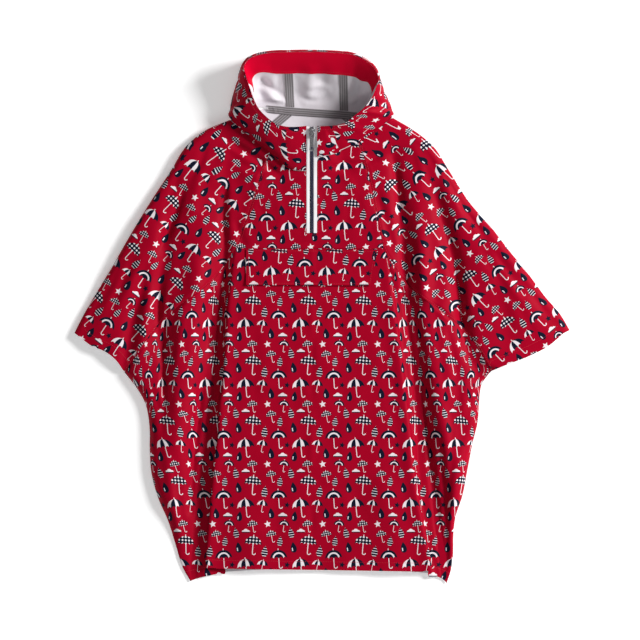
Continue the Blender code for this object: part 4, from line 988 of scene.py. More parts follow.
@dataclass(frozen=True)
class HardFinish:
    """Metal or plastic: its colour, gloss, and fine brushed marks."""

    name: str
    slot: Slot
    color: tuple
    metallic: float = 0.0
    roughness: float = 0.35
    marks: float = 900.0
    depth: float = 0.00006

    def make(self) -> bpy.types.Material:
        """Build the material."""
        material = bpy.data.materials.new(self.name)
        material.use_nodes = True
        tree = material.node_tree
        shader = tree.nodes["Principled BSDF"]
        shader.inputs["Metallic"].default_value = self.metallic
        place = add_node(tree, "ShaderNodeTexCoord")
        spread = add_noise(tree, place.outputs["Object"], Scale=self.marks, Detail=4.0)
        worn = tuple(min(1.0, 1.35 * c + 0.01) for c in self.color[:3]) + (1.0,)
        bump = add_node(tree, "ShaderNodeBump", Height=spread)
        bump.inputs["Strength"].default_value = 0.4
        bump.inputs["Distance"].default_value = self.depth
        end_shader(shader, mix_colors(spread, self.color, worn),
                   (spread - 0.5) * 0.25 + self.roughness, bump)
        return material


class Finish(Enum):
    """Every finish of the garment."""

    PRINTED = ClothFinish("printed_red_cloth", Slot.PRINTED, RED, printed=True, roughness=0.52)
    INSIDE = ClothFinish("coated_lining", Slot.PRINTED, LINING_WHITE, roughness=0.42,
                         shine=0.30, crinkle=2.2, unevenness=0.09)
    # Plain red of the brim facing: the cloth's own red, made much lighter than the printed red (0.62 against
    # 0.358) as painted light on the facing
    PLAIN = ClothFinish("plain_red_cloth", Slot.PLAIN, (0.620, 0.0002, 0.0240, 1.0), roughness=0.52)
    TAPE = ClothFinish("grey_seam_tape", Slot.SEAM_TAPE, (0.285, 0.265, 0.275, 1.0),
                       roughness=0.36, shine=0.4, crinkle=0.9, lines=3.1)
    ZIP_TAPE = ClothFinish("white_zip_tape", Slot.ZIP_TAPE, (0.880, 0.870, 0.885, 1.0),
                           roughness=0.7, thread=0.0009, crinkle=0.2)
    THREAD = HardFinish("red_thread", Slot.PLAIN, (0.450, 0.006, 0.022, 1.0), roughness=0.6,
                        marks=2500.0)
    COIL = HardFinish("navy_zip_coil", Slot.ZIP_COIL, (0.012, 0.014, 0.040, 1.0), roughness=0.42)
    METAL = HardFinish("silver_metal", Slot.METAL, (0.400, 0.400, 0.415, 1.0), metallic=1.0,
                       roughness=0.28)


MATERIALS = {finish: finish.value.make() for finish in Finish}


# ---- meshes

def put_on(obj: bpy.types.Object, slot: Slot, *nodes: str, body: str = GARMENT) -> bpy.types.Object:
    """Let a piece ride on its body and stand for its nodes."""
    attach(obj, body)
    if nodes:
        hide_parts(*nodes)
    return obj


def finished_object(name: str, mesh: bpy.types.Mesh, finish: Finish,
                    angle: float = 50.0) -> bpy.types.Object:
    """Make an object of a mesh.

    Args:
        name: the object's name.
        mesh: its mesh.
        finish: its finish.
        angle: edges sharper than this, in degrees, stay sharp.

    Returns:
        The object, linked into the scene.
    """
    mesh.shade_smooth()
    mesh.set_sharp_from_angle(angle=math.radians(angle))
    mesh.materials.append(MATERIALS[finish])
    obj = bpy.data.objects.new(name, mesh)
    bpy.context.scene.collection.objects.link(obj)
    return obj


def mesh_of(name: str, verts: Points, faces: Points) -> bpy.types.Mesh:
    """Mesh of points in millimetres and faces given by point numbers."""
    mesh = bpy.data.meshes.new(name)
    mesh.from_pydata((verts.reshape(-1, 3) * MM).tolist(), [], faces.tolist())
    mesh.update()
    return mesh


def with_height(plan: Points, z: Points) -> Points:
    """Points over places in plan, at these heights."""
    return np.concatenate([plan, np.broadcast_to(z, plan.shape[:-1])[..., None]], axis=-1)


class Held(Enum):
    """How a piece of cloth is held."""

    LAID = "laid"
    FOLDED = "folded"


@dataclass
class ClothPiece:
    """One cut piece of cloth, made as a thin closed shell over a grid of points."""

    name: str
    grid: Points
    normals: Points
    flat: Points
    wall: float = 0.7
    finish: Finish = Finish.PRINTED
    keep: Optional[Points] = None
    lining_cells: Optional[Points] = None
    low: Optional[float] = None
    laid: bool = False

    def skins(self) -> tuple:
        """Points of the shell's two skins."""
        top = self.grid + self.normals * self.wall / 2
        bottom = self.grid - self.normals * self.wall / 2
        if self.low is not None:
            up = self.normals[..., 2] > 0.0
            bottom[..., 2] = np.maximum(bottom[..., 2], np.where(up, self.low, self.low + 0.05))
            top[..., 2] = np.maximum(top[..., 2], np.where(up, self.low + 0.05, self.low))
        return top.reshape(-1, 3), bottom.reshape(-1, 3)

    def faces(self, top: Points) -> tuple:
        """Faces of the shell.

        Args:
            top: points of its outer skin.

        Returns:
            Point numbers of each face, and how many faces the outer skin has.
        """
        index = np.arange(len(top)).reshape(self.grid.shape[:2])
        ring = np.stack([index[:-1, :-1], index[:-1, 1:], index[1:, 1:], index[1:, :-1]], axis=-1)
        facing = np.cross(top[ring[..., 2]] - top[ring[..., 0]], top[ring[..., 3]] - top[ring[..., 1]])
        keep = np.ones(ring.shape[:2], bool) if self.keep is None else self.keep
        turned = (facing * self.normals[:-1, :-1])[keep].sum() < 0
        cells = ring[keep][:, ::-1] if turned else ring[keep]
        ends = np.stack([cells.T, np.roll(cells, -1, axis=1).T], axis=-1).reshape(-1, 2)
        number = ends @ [len(top), 1]
        a, b = ends[~np.isin(number, ends[:, ::-1] @ [len(top), 1])].T
        walls = np.stack([b, a, a + len(top), b + len(top)], axis=-1)
        return np.concatenate([cells, cells[:, ::-1] + len(top), walls]), len(cells)

    def build(self, in_solids: bool = True) -> bpy.types.Object:
        """Build the shell with its flat-cloth coordinates.

        Args:
            in_solids: whether the solids have a node of its name, which it stands for.

        Returns:
            The object.
        """
        name = self.name + "_cloth"
        top, bottom = self.skins()
        faces, cells = self.faces(top)
        used = np.isin(np.arange(2 * len(top)), faces)
        mesh = mesh_of(name, np.concatenate([top, bottom])[used], (np.cumsum(used) - 1)[faces])
        obj = finished_object(name, mesh, self.finish)
        inner = Finish.INSIDE if self.finish is Finish.PRINTED else self.finish
        mesh.materials.append(MATERIALS[inner])
        kind = np.zeros(len(faces), np.int32)
        kind[cells:2 * cells] = 1
        if self.lining_cells is not None:
            kind[:cells] = self.lining_cells.ravel()
        mesh.polygons.foreach_set("material_index", kind)
        layer = mesh.uv_layers.new(name="flat_cloth")
        flat = np.tile(self.flat.reshape(-1, 2) * MM, (2, 1))
        layer.data.foreach_set("uv", flat[faces.ravel()].astype(np.float32).ravel())
        return put_on(obj, self.finish.value.slot, *([self.name] if in_solids else []))

    def cut(self) -> tuple:
        """Width, length and area of the flat cut, in metres."""
        across, along = arc(self.grid, 1)[:, -1].max(), arc(self.grid, 0)[-1].max()
        if self.laid:
            across, along = np.ptp(self.grid[..., :2], axis=(0, 1))
        area = 0.5 * np.linalg.norm(np.cross(self.grid[1:, 1:] - self.grid[:-1, :-1],
                                             self.grid[1:, :-1] - self.grid[:-1, 1:]), axis=-1)
        area = area.sum() if self.keep is None else area[self.keep].sum()
        return float(across * MM), float(along * MM), float(area * MM * MM)

    def declare(self, obj: bpy.types.Object,
                extra: Sequence[bpy.types.Object] = ()) -> None:
        """State the piece's flat cut.

        Args:
            obj: the piece's object.
            extra: stitches and hems on it; not used.
        """
        width, length, area = self.cut()
        LOG.info("%s: cut %.3f x %.3f m, %.4f m2, %d faces", obj.name, width, length, area,
                 len(obj.data.polygons))


def thread_row(name: str, starts: Points, ends: Points, radius: float, finish: Finish,
               up: Sequence[float] = (0.0, 0.0, 1.0), sides: int = 6) -> bpy.types.Object:
    """Make a row of stitches or teeth, each a short rounded bar.

    Args:
        name: the object's name.
        starts, ends: the ends of each bar.
        radius: half the bar's thickness.
        finish: its finish.
        up: the direction out of the cloth.
        sides: sides of its section.

    Returns:
        The object, with all bars joined.
    """
    way = ends - starts
    across = unit(np.cross(up, way))
    out = np.cross(unit(way), across)
    angles = np.linspace(0.0, 2.0 * math.pi, sides, endpoint=False)[:, None]
    circle = (np.cos(angles) * across[:, None] + np.sin(angles) * out[:, None]) * radius
    rings = []
    for share, wide in ((0.0, 0.0), (0.06, 0.62), (0.2, 0.95), (0.8, 0.95), (0.94, 0.62), (1.0, 0.0)):
        centre = (starts + way * share)[:, None]
        rings.append(centre + circle * wide if wide else centre)
    last = 1 + 3 * sides
    one = []
    for i in range(sides):
        j = (i + 1) % sides
        one.append([0, 1 + j, 1 + i])
        for base in range(1, last, sides):
            one.append([base + i, base + j, base + sides + j])
            one.append([base + i, base + sides + j, base + sides + i])
        one.append([last + i, last + j, last + sides])
    faces = np.array(one) + (np.arange(len(starts)) * (last + sides + 1))[:, None, None]
    mesh = mesh_of(name, np.concatenate(rings, axis=1), faces.reshape(-1, 3))
    return finished_object(name, mesh, finish, angle=70.0)


def sew(name: str, lines: Sequence[Points], slot: Slot = Slot.PRINTED, radius: float = 0.2,
        up: Sequence[float] = (0.0, 0.0, 1.0), pitch: float = 3.3,
        share: float = 0.76) -> bpy.types.Object:
    """Sew red stitches along lines of points.

    Args:
        name: the object's name.
        lines: the lines.
        slot: the slot of the cloth that they are in.
        radius: half the thread's thickness.
        up: the direction out of the cloth.
        pitch: distance from one stitch to the next.
        share: share of it that shows as thread.

    Returns:
        The object, with all stitches joined.
    """
    marks = [np.arange(pitch * 0.5, arc(line, 0)[-1] - pitch, pitch) for line in lines]
    starts = np.concatenate([at_lengths(*pair) for pair in zip(lines, marks)])
    ends = np.concatenate([at_lengths(line, mark + pitch * share) for line, mark in zip(lines, marks)])
    return put_on(thread_row(name, starts, ends, radius, Finish.THREAD, up), slot)


# ---- lower front

@dataclass
class LowerFront:
    """The lower front with its two deep side pleats, and the stitches along its hem."""

    name: str = "front_lower"
    side_columns: int = 40
    middle_columns: int = 84
    east_columns: int = 34
    rows: int = 152
    wall: float = 0.7
    hem: float = 12.0
    pleat_share: tuple = (5, 3, 2, 2, 3, 5, 4, 3, 2, 2, 3)

    def __post_init__(self) -> None:
        """Lay out the pleats' lines."""
        self.marks = np.concatenate([[0], np.cumsum(self.pleat_share)])
        self.tables = [[np.array(line, dtype=float) for line in (pleat.edge, pleat.lap)]
                       for pleat in PLEATS]
        self.valleys = [FRONT.folds[k][1] for k in VALLEY_FOLDS]

    def pleat_line(self, which: int, index: int, y: Points) -> Points:
        """x of one line of a pleat at these y."""
        x, reach = [np.interp(-y, -table[:, 0], table[:, 1]) for table in self.tables[which]]
        fold = np.clip(reach / 8.0, -1.0, 1.0)
        offsets = (reach - 14.0, reach - 4.0, reach - 1.0, reach, reach - fold,
                   reach - 4.0 * fold, 4.0 * fold, fold, 0.0, 1.0, 4.0, 12.0)
        return x - PLEATS[which].side * offsets[index]

    def low_height(self, which: int, x: Points, y: Points, top_y: Points) -> Points:
        """Height of the cloth between the side seam and a pleat."""
        z = FRONT.plain(x, y)
        valley = self.valleys[which].x_at(y)
        under = (valley - x) * PLEATS[which].side > 0
        formed = ramp((top_y - y) / PLEAT_FORMING)
        return np.where(under, z + formed * (FRONT.plain(valley, y) - z), z)

    def seam(self) -> Points:
        """Top edge: up one raglan seam, along the pocket seam, down the other."""
        west, east = FRONT.lines["w"].raglan, FRONT.lines["e"].raglan
        up = west.at(np.linspace(1.0, west.share_at_y(POCKET_SEAM[0]), 240))
        down = east.at(np.linspace(east.share_at_y(POCKET_SEAM[1]), 1.0, 240))
        return np.concatenate([up, np.linspace(up[-1], down[0], 160)[1:-1], down])

    def column_x(self, kind: str, share: float, y: Points) -> Points:
        """x of a column at these y."""
        if kind == "m":
            a, b = self.pleat_line(0, 11, y), self.pleat_line(1, 11, y)
            return a + share * (b - a)
        which = 0 if kind in ("w", "pw") else 1
        if kind in ("pw", "pe"):
            index = float(np.interp(share, self.marks, np.arange(12)))
            low = int(min(index, 10))
            a, b = self.pleat_line(which, low, y), self.pleat_line(which, low + 1, y)
            return a + (index - low) * (b - a)
        side = FRONT.lines[kind].side.x_at(y)
        return side + share ** 1.3 * (self.pleat_line(which, 0, y) - side)

    def columns(self) -> list:
        """Kind and share of each column, from west to east."""
        pleat = range(int(self.marks[-1]) + 1)
        return ([("w", f) for f in np.linspace(0, 1, self.side_columns + 1)[:-1]]
                + [("pw", k) for k in pleat]
                + [("m", f) for f in np.linspace(0, 1, self.middle_columns + 2)[1:-1]]
                + [("pe", k) for k in reversed(pleat)]
                + [("e", f) for f in np.linspace(1, 0, self.east_columns + 1)[1:]])

    def column_top(self, kind: str, share: float, seam: Points) -> Points:
        """Where a column meets the top edge."""
        if kind in ("w", "e") and share == 0.0:
            return FRONT.lines[kind].raglan.points[-1]
        gap = seam[:, 0] - self.column_x(kind, share, seam[:, 1])
        k = np.nonzero(np.sign(gap[:-1]) != np.sign(gap[1:]))[0][0]
        return seam[k] + gap[k] / (gap[k] - gap[k + 1]) * (seam[k + 1] - seam[k])

    def hem_y(self, kind: str, share: float) -> float:
        """y of the hem at a column."""
        west, east = PLEATS
        if kind == "m":
            return west.hem_top - 1.0 + share * (east.hem_top - west.hem_top)
        pleat, outline = (west, WEST) if kind in ("w", "pw") else (east, EAST)
        if kind in ("pw", "pe"):
            level = np.interp(share, self.marks, HEM_LEVELS)
            return pleat.hem_low + (pleat.hem_top - pleat.hem_low) * level
        end = outline.side[-1][1]
        return end + share * (pleat.hem_low - end)

    def pleat(self, which: int, y: Points, tops: Points) -> list:
        """Fine points of a pleat, worked out from its twelve lines.

        Args:
            which: the pleat.
            y: y of its points, a row of them at each height.
            tops: y of the seam above each.

        Returns:
            x and z of the points.
        """
        ys = np.linspace(110.0, -390.0, 251)
        top = FRONT.plain(self.pleat_line(which, 11, ys), ys)
        x, z = [], []
        for index, mark in enumerate(self.marks):
            line = self.pleat_line(which, index, ys)
            low = self.low_height(which, line, ys, ys + PLEAT_FORMING)
            at_y = y[:, mark]
            level = np.interp(-at_y, -ys, low + PLEAT_LEVELS[index] * (top - low))
            plain = np.interp(-at_y, -ys, FRONT.plain(line, ys))
            x.append(np.interp(-at_y, -ys, line))
            z.append(plain + ramp((tops[mark] - at_y) / PLEAT_FORMING) * (level - plain))
        spots = np.arange(self.marks[-1] + 1)
        fine = [np.array([np.interp(spots, self.marks, row) for row in np.transpose(values)])
                for values in (x, z)]
        for _ in range(3):
            for rows in fine:
                rows[:, 1:-1] = 0.25 * rows[:, :-2] + 0.5 * rows[:, 1:-1] + 0.25 * rows[:, 2:]
        return fine

    def surface(self) -> tuple:
        """Grid of the panel and each column's kind.

        Returns:
            The grid of points and the list of columns.
        """
        seam, lines = self.seam(), self.columns()
        moved = tuck(np.array([self.column_top(*line, seam) for line in lines]), -SEAM / 2)
        hem = np.array([self.hem_y(*line) for line in lines])
        v = np.linspace(0.0, 1.0, self.rows)[:, None]
        y = TOP_ROW + (LOW_ROW - TOP_ROW) * v
        y = y + (moved[:, 1] - TOP_ROW) * np.clip(1.0 - v / ROWS_LEVEL, 0.0, 1.0)
        y = y + (hem - LOW_ROW) * np.clip((v - ROWS_LEVEL) / (1.0 - ROWS_LEVEL), 0.0, 1.0)
        grid = np.stack([y, y, y], axis=-1)
        for j, (kind, share) in enumerate(lines):
            if kind in ("pw", "pe"):
                continue
            x = self.column_x(kind, share, y[:, j])
            z = FRONT.plain(x, y[:, j]) if kind == "m" else self.low_height(
                0 if kind == "w" else 1, x, y[:, j], moved[j, 1])
            grid[:, j, 0], grid[:, j, 2] = x, z
        for which, kind in enumerate(("pw", "pe")):
            cols = [j for j, line in enumerate(lines) if line[0] == kind]
            cols = cols[::-1] if kind == "pe" else cols
            grid[:, cols, 0], grid[:, cols, 2] = self.pleat(which, y[:, cols], moved[cols, 1])
        shift = moved[:, 0] - grid[0, :, 0]
        grid[..., 0] += shift * ramp(1.0 - np.arange(self.rows) / 12.0)[:, None]
        return grid, lines

    def soften(self, grid: Points, lines: list) -> None:
        """Round the angles that the pleats leave in the low cloth beside them."""
        soft = np.array([kind in ("w", "e") and share > 0.04 or kind in ("pw", "pe")
                         and share < self.pleat_share[0] for kind, share in lines])
        for _ in range(10):
            z = grid[..., 2]
            mean = z.copy()
            mean[1:-1, 1:-1] = 0.25 * (z[:-2, 1:-1] + z[2:, 1:-1] + z[1:-1, :-2] + z[1:-1, 2:])
            grid[1:-1, soft, 2] = mean[1:-1, soft]

    def build(self) -> None:
        """Build the panel and its stitches."""
        grid, lines = self.surface()
        self.soften(grid, lines)
        x, y = grid[..., 0], grid[..., 1]
        grid[..., 2] = np.maximum(grid[..., 2] + FRONT.detail(x, y), FRONT_FLOOR)
        from_hem = arc(grid[::-1], 0)[::-1]
        grid[..., 2] += 0.35 * ramp((self.hem - from_hem) / 1.2)
        normals = grid_normals(grid)
        normals *= np.sign(normals[self.rows // 2, len(lines) // 2, 2])
        run = arc(grid, 1)
        middle = int(np.argmin(np.abs(grid[self.rows // 2, :, 0] - ZIP_X)))
        flat = np.stack([run - run[:, [middle]] + x[:, [middle]], y], axis=-1)
        piece = ClothPiece(self.name, grid, normals, flat, self.wall, low=1.5)
        obj = piece.build()
        row = int(np.argmin(np.abs(from_hem[:, middle] - self.hem + 1.0)))
        hem = sew("hem_stitches", [grid[row] + normals[row] * STITCH_LIFT], radius=0.22)
        piece.declare(obj, [hem])


# ---- sleeves

@dataclass
class Sleeve:
    """A raglan sleeve, folded over at its top: front layer, roll and back layer."""

    name: str
    half: str
    rows: int = 118
    front_columns: int = 74
    roll_columns: int = 9
    back_columns: int = 12
    wall: float = 0.7
    cuff_hem: float = 14.0

    def layer(self, seam: Points, fold: Points, neck: Points, cuff: Points) -> tuple:
        """Plan of one layer, drawn in from the fold by the reach of its roll.

        Args:
            seam, fold: its two long edges, from neck to cuff.
            neck, cuff: its two ends, from seam to fold.

        Returns:
            Its points, and the way out from the seam at each row.
        """
        neck[0], neck[-1] = seam[0], fold[0]
        cuff[0], cuff[-1] = seam[-1], fold[-1]
        out = fold - seam
        total = np.linalg.norm(out, axis=1, keepdims=True)
        drawn = (patch(seam, fold, neck, cuff) - seam[:, None]) * (
            (total - SLEEVE_ROLL[self.half]) / total)[:, None]
        return seam[:, None] + drawn, out / total

    def surface(self) -> tuple:
        """Grid, normals and flat coordinates of the sleeve."""
        paths, reach = FRONT.lines[self.half], SLEEVE_ROLL[self.half]
        inset = SEAM / 2 if self.half == "e" else -SEAM / 2
        shares = np.linspace(0.0, 1.0, self.rows)
        fold = paths.fold.at(shares)
        seam = tuck(paths.raglan.at(shares), inset)
        t = np.linspace(0.0, 1.0, self.front_columns)
        neck_x = seam[0, 0] + t * (fold[0, 0] - seam[0, 0])
        neck = np.stack([neck_x, paths.neck.y_at(neck_x) + NECK_LAP * ramp((1.0 - t) / 0.5)], axis=-1)
        front, out = self.layer(seam, fold, neck, paths.cuff.at(1.0 - t))
        t = np.linspace(1.0, 0.0, self.back_columns)
        back, out_b = self.layer(tuck(paths.back_raglan.at(shares), inset), fold,
                                 paths.back_neck.at(t), paths.cuff.at(t))
        z = np.maximum(FRONT.fine(front[..., 0], front[..., 1]), SLEEVE_FLOOR)
        top, ground = z[:, -1:], self.wall / 2 + 0.05
        tall = (top - ground) / 2
        angles = np.radians(np.linspace(90.0, -90.0, self.roll_columns + 2)[1:-1])[None]
        c, s = np.cos(angles), np.sin(angles)
        lean = ((1 - s) / 2)[..., None]
        way = out[:, None] * (1 - lean) + out_b[:, None] * lean
        roll = fold[:, None] - way * (reach * (1 - c))[..., None]
        grid = np.concatenate([with_height(front, z), with_height(roll, (top + ground) / 2 + tall * s),
                               with_height(back[:, ::-1], ground)], axis=1)
        normals = grid_normals(grid)
        normals *= np.sign(normals[self.rows // 2, self.front_columns // 2, 2])
        k = self.front_columns
        normals[:, k:k + self.roll_columns] = unit(with_height(way * (c / reach)[..., None], s / tall))
        normals[:, k + self.roll_columns:] = (0.0, 0.0, -1.0)
        return grid, normals, self.flat(grid)

    def flat(self, grid: Points) -> Points:
        """Flat-cloth coordinates: up the sleeve from the cuff, and across its centre line."""
        grain, k = FRONT.lines[self.half].grain, self.front_columns
        dist, side, share = grain.nearest(grid[:, :k, 0], grid[:, :k, 1])
        u, v = np.zeros((2,) + grid.shape[:2])
        u[:, :k], v[:, :k] = dist * side, -share * grain.length[-1]
        way = np.sign(u[:, k - 1] - u[:, 0])
        u[:, k - 1:] = u[:, k - 1:k] + way[:, None] * arc(grid[:, k - 1:], 1)
        v[:, k:] = v[:, k - 1:k]
        shift = PRINT_SHIFT[self.half]
        return np.stack([u + shift, v + 0.5 * shift], axis=-1)

    def build(self) -> None:
        """Build the sleeve and its stitches."""
        grid, normals, flat = self.surface()
        from_cuff = arc(grid[::-1], 0)[::-1][:, :self.front_columns]
        grid[:, :self.front_columns, 2] += 0.3 * ramp((self.cuff_hem - from_cuff) / 1.2)
        piece = ClothPiece(self.name, grid, normals, flat, self.wall)
        obj = piece.build()
        far = np.argmin(np.abs(from_cuff - self.cuff_hem + 1.5), axis=0)[1:]
        cols = np.arange(1, self.front_columns)
        over = grid + normals * STITCH_LIFT
        sewn = sew(self.name + "_cloth_stitches", [over[2:, 1], over[far, cols]])
        piece.declare(obj, [sewn])


# ---- yoke, back, flap

@dataclass
class Yoke:
    """The upper front, slit for the zip."""

    name: str = "front_yoke"
    rows: int = 82
    columns: tuple = (34, 32)
    wall: float = 0.7

    def build(self, tapes: Sequence[bpy.types.Object]) -> None:
        """Build the panel and its stitches, with the zip's tapes sewn in."""
        foot_row = int(round(2 / 9 * (self.rows - 1)))
        seams, edges = [], []
        for half, sign, low in zip("we", (-1.0, 1.0), POCKET_SEAM):
            path = FRONT.lines[half].raglan
            seam = path.at(np.linspace(0.0, path.share_at_y(low), self.rows))
            edge = tuck(seam, -sign * SEAM / 2)[::-1]
            edge[0, 1] += SEAM / 2
            seams.append(seam[1:] + [-sign * 2.2, 0.6])
            edges.append(edge)
        foot = 0.5 * (edges[0][0, 1] + edges[1][0, 1])
        slits = []
        for sign, outline in ((-1.0, WEST), (1.0, EAST)):
            y = np.interp(np.arange(self.rows), [0, foot_row, self.rows - 1],
                          [foot, ZIP_BOTTOM, outline.neck[0][1] + NECK_LAP])
            slits.append(np.column_stack([np.full(self.rows, ZIP_X + sign * ZIP_WIDTH / 2), y]))
        halves = []
        for half, count, a, b in (("w", self.columns[0], edges[0], slits[0]),
                                  ("e", self.columns[1], slits[1], edges[1])):
            x = np.linspace(a[-1, 0], b[-1, 0], count)
            neck = np.column_stack([x, FRONT.lines[half].neck.y_at(x) + NECK_LAP])
            neck[0], neck[-1] = a[-1], b[-1]
            halves.append(patch(a, b, np.linspace(a[0], b[0], count), neck))
        plan = np.concatenate(halves, axis=1)
        x, y = plan[..., 0], plan[..., 1]
        keep = np.ones((self.rows - 1, plan.shape[1] - 1), bool)
        keep[foot_row:, self.columns[0] - 1] = False
        piece = ClothPiece(self.name, with_height(plan, FRONT.fine(x, y)), FRONT.normals(x, y),
                           plan + PRINT_SHIFT["yoke"], self.wall, keep=keep)
        obj = piece.build()
        left, right = slits[0][foot_row:] - [2.0, 0.0], slits[1][foot_row:] + [2.0, 0.0]
        under = np.linspace(left[0], right[0], 12) - [0.0, 2.5]
        lines = [with_height(line, FRONT.fine(line[:, 0], line[:, 1]) + STITCH_LIFT)
                 for line in (*seams, left, right, under)]
        piece.declare(obj, [sew("yoke_stitches", lines), *tapes])


@dataclass
class BackPanel:
    """The back, flat on the ground; its inner face shows inside the neck."""

    name: str = "back_body"
    seam_rows: int = 60
    top_columns: int = 40
    rows: int = 60
    wall: float = 0.9

    def build(self) -> None:
        """Build the panel."""
        west, east = [FRONT.lines[half].back_raglan.at(np.linspace(0.0, 1.0, self.seam_rows))
                      for half in "we"]
        top = np.linspace(west[0], east[0], self.top_columns)[1:-1]
        crown = tuck(np.concatenate([west[::-1], top, east]), -SEAM / 2)
        u = np.linspace(0.0, 1.0, len(crown))[:, None]
        hem = np.array([HEM_CORNERS[0], LOW_ROW]) + u * [HEM_CORNERS[1] - HEM_CORNERS[0], 0.0]
        hem[:, 1:] += 9.0 * np.sin(np.pi * u)
        v = np.linspace(0.0, 1.0, self.rows)
        left, right = [side.at(v * side.share_at_y(LOW_ROW)) for side in
                       (FRONT.lines["w"].side, FRONT.lines["e"].side)]
        left[0], right[0] = crown[0], crown[-1]
        hem[0], hem[-1] = left[-1], right[-1]
        plan = patch(left, right, crown, hem)
        x, y = plan[..., 0], plan[..., 1]
        grid = with_height(plan, self.wall / 2 + 0.12 + 0.05 * lattice_noise(x / 30.0, y / 40.0, 9))
        down = np.zeros_like(grid) - [0.0, 0.0, 1.0]
        flat = np.stack([-x, y], axis=-1) + PRINT_SHIFT["back"]
        piece = ClothPiece(self.name, grid, down, flat, self.wall, laid=True)
        piece.declare(piece.build())


@dataclass
class PocketFlap:
    """The long flap over the front pocket, with a stitched edge."""

    name: str = "pocket_flap"
    columns: int = 92
    rows: int = 30
    wall: float = 0.7

    def place(self, u: Points, v: Points) -> Points:
        """Points of the flap: u from west to east, v from its seam to its free edge."""
        west, east = FLAP_TOP
        x = west + u * ((east - v * FLAP_TAPER) - west)
        y = TOP_ROW - 0.9 - u * 0.9 - v * FLAP_DROP
        sag = 0.35 * lattice_noise(u * 9.0 + 0.3, v * 2.0, 17) * v * 0.8
        z = FRONT.fine(x, y) + CLOTH + SEAM + 0.05 + 1.7 * v ** 5 + sag
        return np.stack([x, y, z], axis=-1)

    def build(self) -> None:
        """Build the flap and its stitches."""
        grid = self.place(*np.meshgrid(np.linspace(0, 1, self.columns), np.linspace(0, 1, self.rows)))
        piece = ClothPiece(self.name, grid, grid_normals(grid, upward=True),
                           grid[..., :2] + PRINT_SHIFT["flap"], self.wall)
        obj = piece.build()
        down, along = np.linspace(0.05, 0.94, 30), np.linspace(0.0, 1.0, 90)
        edge_u = np.concatenate([np.full(30, 0.018), np.linspace(0.018, 0.982, 90), np.full(30, 0.982)])
        edge_v = np.concatenate([down, np.full(90, 0.95), down[::-1]])
        lines = [self.place(u, v) + [0.0, 0.0, STITCH_LIFT] for u, v in
                 ((edge_u, edge_v), (0.01 + 0.98 * along, np.full(90, 0.045)))]
        piece.declare(obj, [sew("flap_stitches", lines)])


# ---- hood

# Soft wrinkles of the hood's lining, seen from above.
LINING_FOLDS = tuple(Fold(*row) for row in (
    ("crown_w", -3.4, 6, 9, ((-84, 352), (-88, 334), (-86, 316)), 0.2, 0.2),
    ("crown_1", 2.6, 9, 7, ((-70, 356), (-72, 336), (-66, 314)), 0.2, 0.3),
    ("crown_2", -3.2, 6, 9, ((-38, 356), (-40, 336), (-34, 316)), 0.2, 0.3),
    ("crown_3", 2.4, 9, 8, ((-20, 354), (-18, 334), (-22, 314)), 0.2, 0.3),
    ("crown_4", -3.0, 8, 6, ((4, 356), (2, 336), (8, 314)), 0.2, 0.3),
    ("crown_5", 2.2, 7, 8, ((20, 352), (22, 332), (20, 312)), 0.2, 0.3),
    ("crown_e1", -3.2, 7, 6, ((44, 352), (50, 332), (50, 312)), 0.2, 0.2),
    ("crown_e2", 2.6, 6, 7, ((58, 346), (64, 328), (62, 312)), 0.2, 0.2),
    ("slant_w", -3.0, 4, 5, ((-92, 350), (-76, 336), (-54, 322)), 0.1, 0.1),
    ("slant_w2", 2.4, 5, 4, ((-96, 336), (-78, 326), (-60, 312)), 0.1, 0.1),
    ("slant_e", -2.8, 4, 5, ((64, 344), (44, 330), (30, 322)), 0.1, 0.1),
    ("slant_e2", 2.2, 5, 4, ((70, 332), (52, 322), (38, 312)), 0.1, 0.1),
    ("cross_w", 2.0, 4, 4, ((-84, 322), (-62, 318), (-44, 310)), 0.1, 0.1),
    ("cross_m", -2.2, 4, 4, ((-36, 322), (-10, 316), (20, 322)), 0.1, 0.1),
    ("cross_m2", 1.8, 4, 4, ((-28, 334), (-6, 338), (14, 330)), 0.1, 0.1),
    ("cross_e", 1.8, 4, 4, ((20, 326), (40, 318), (58, 316)), 0.1, 0.1),
))


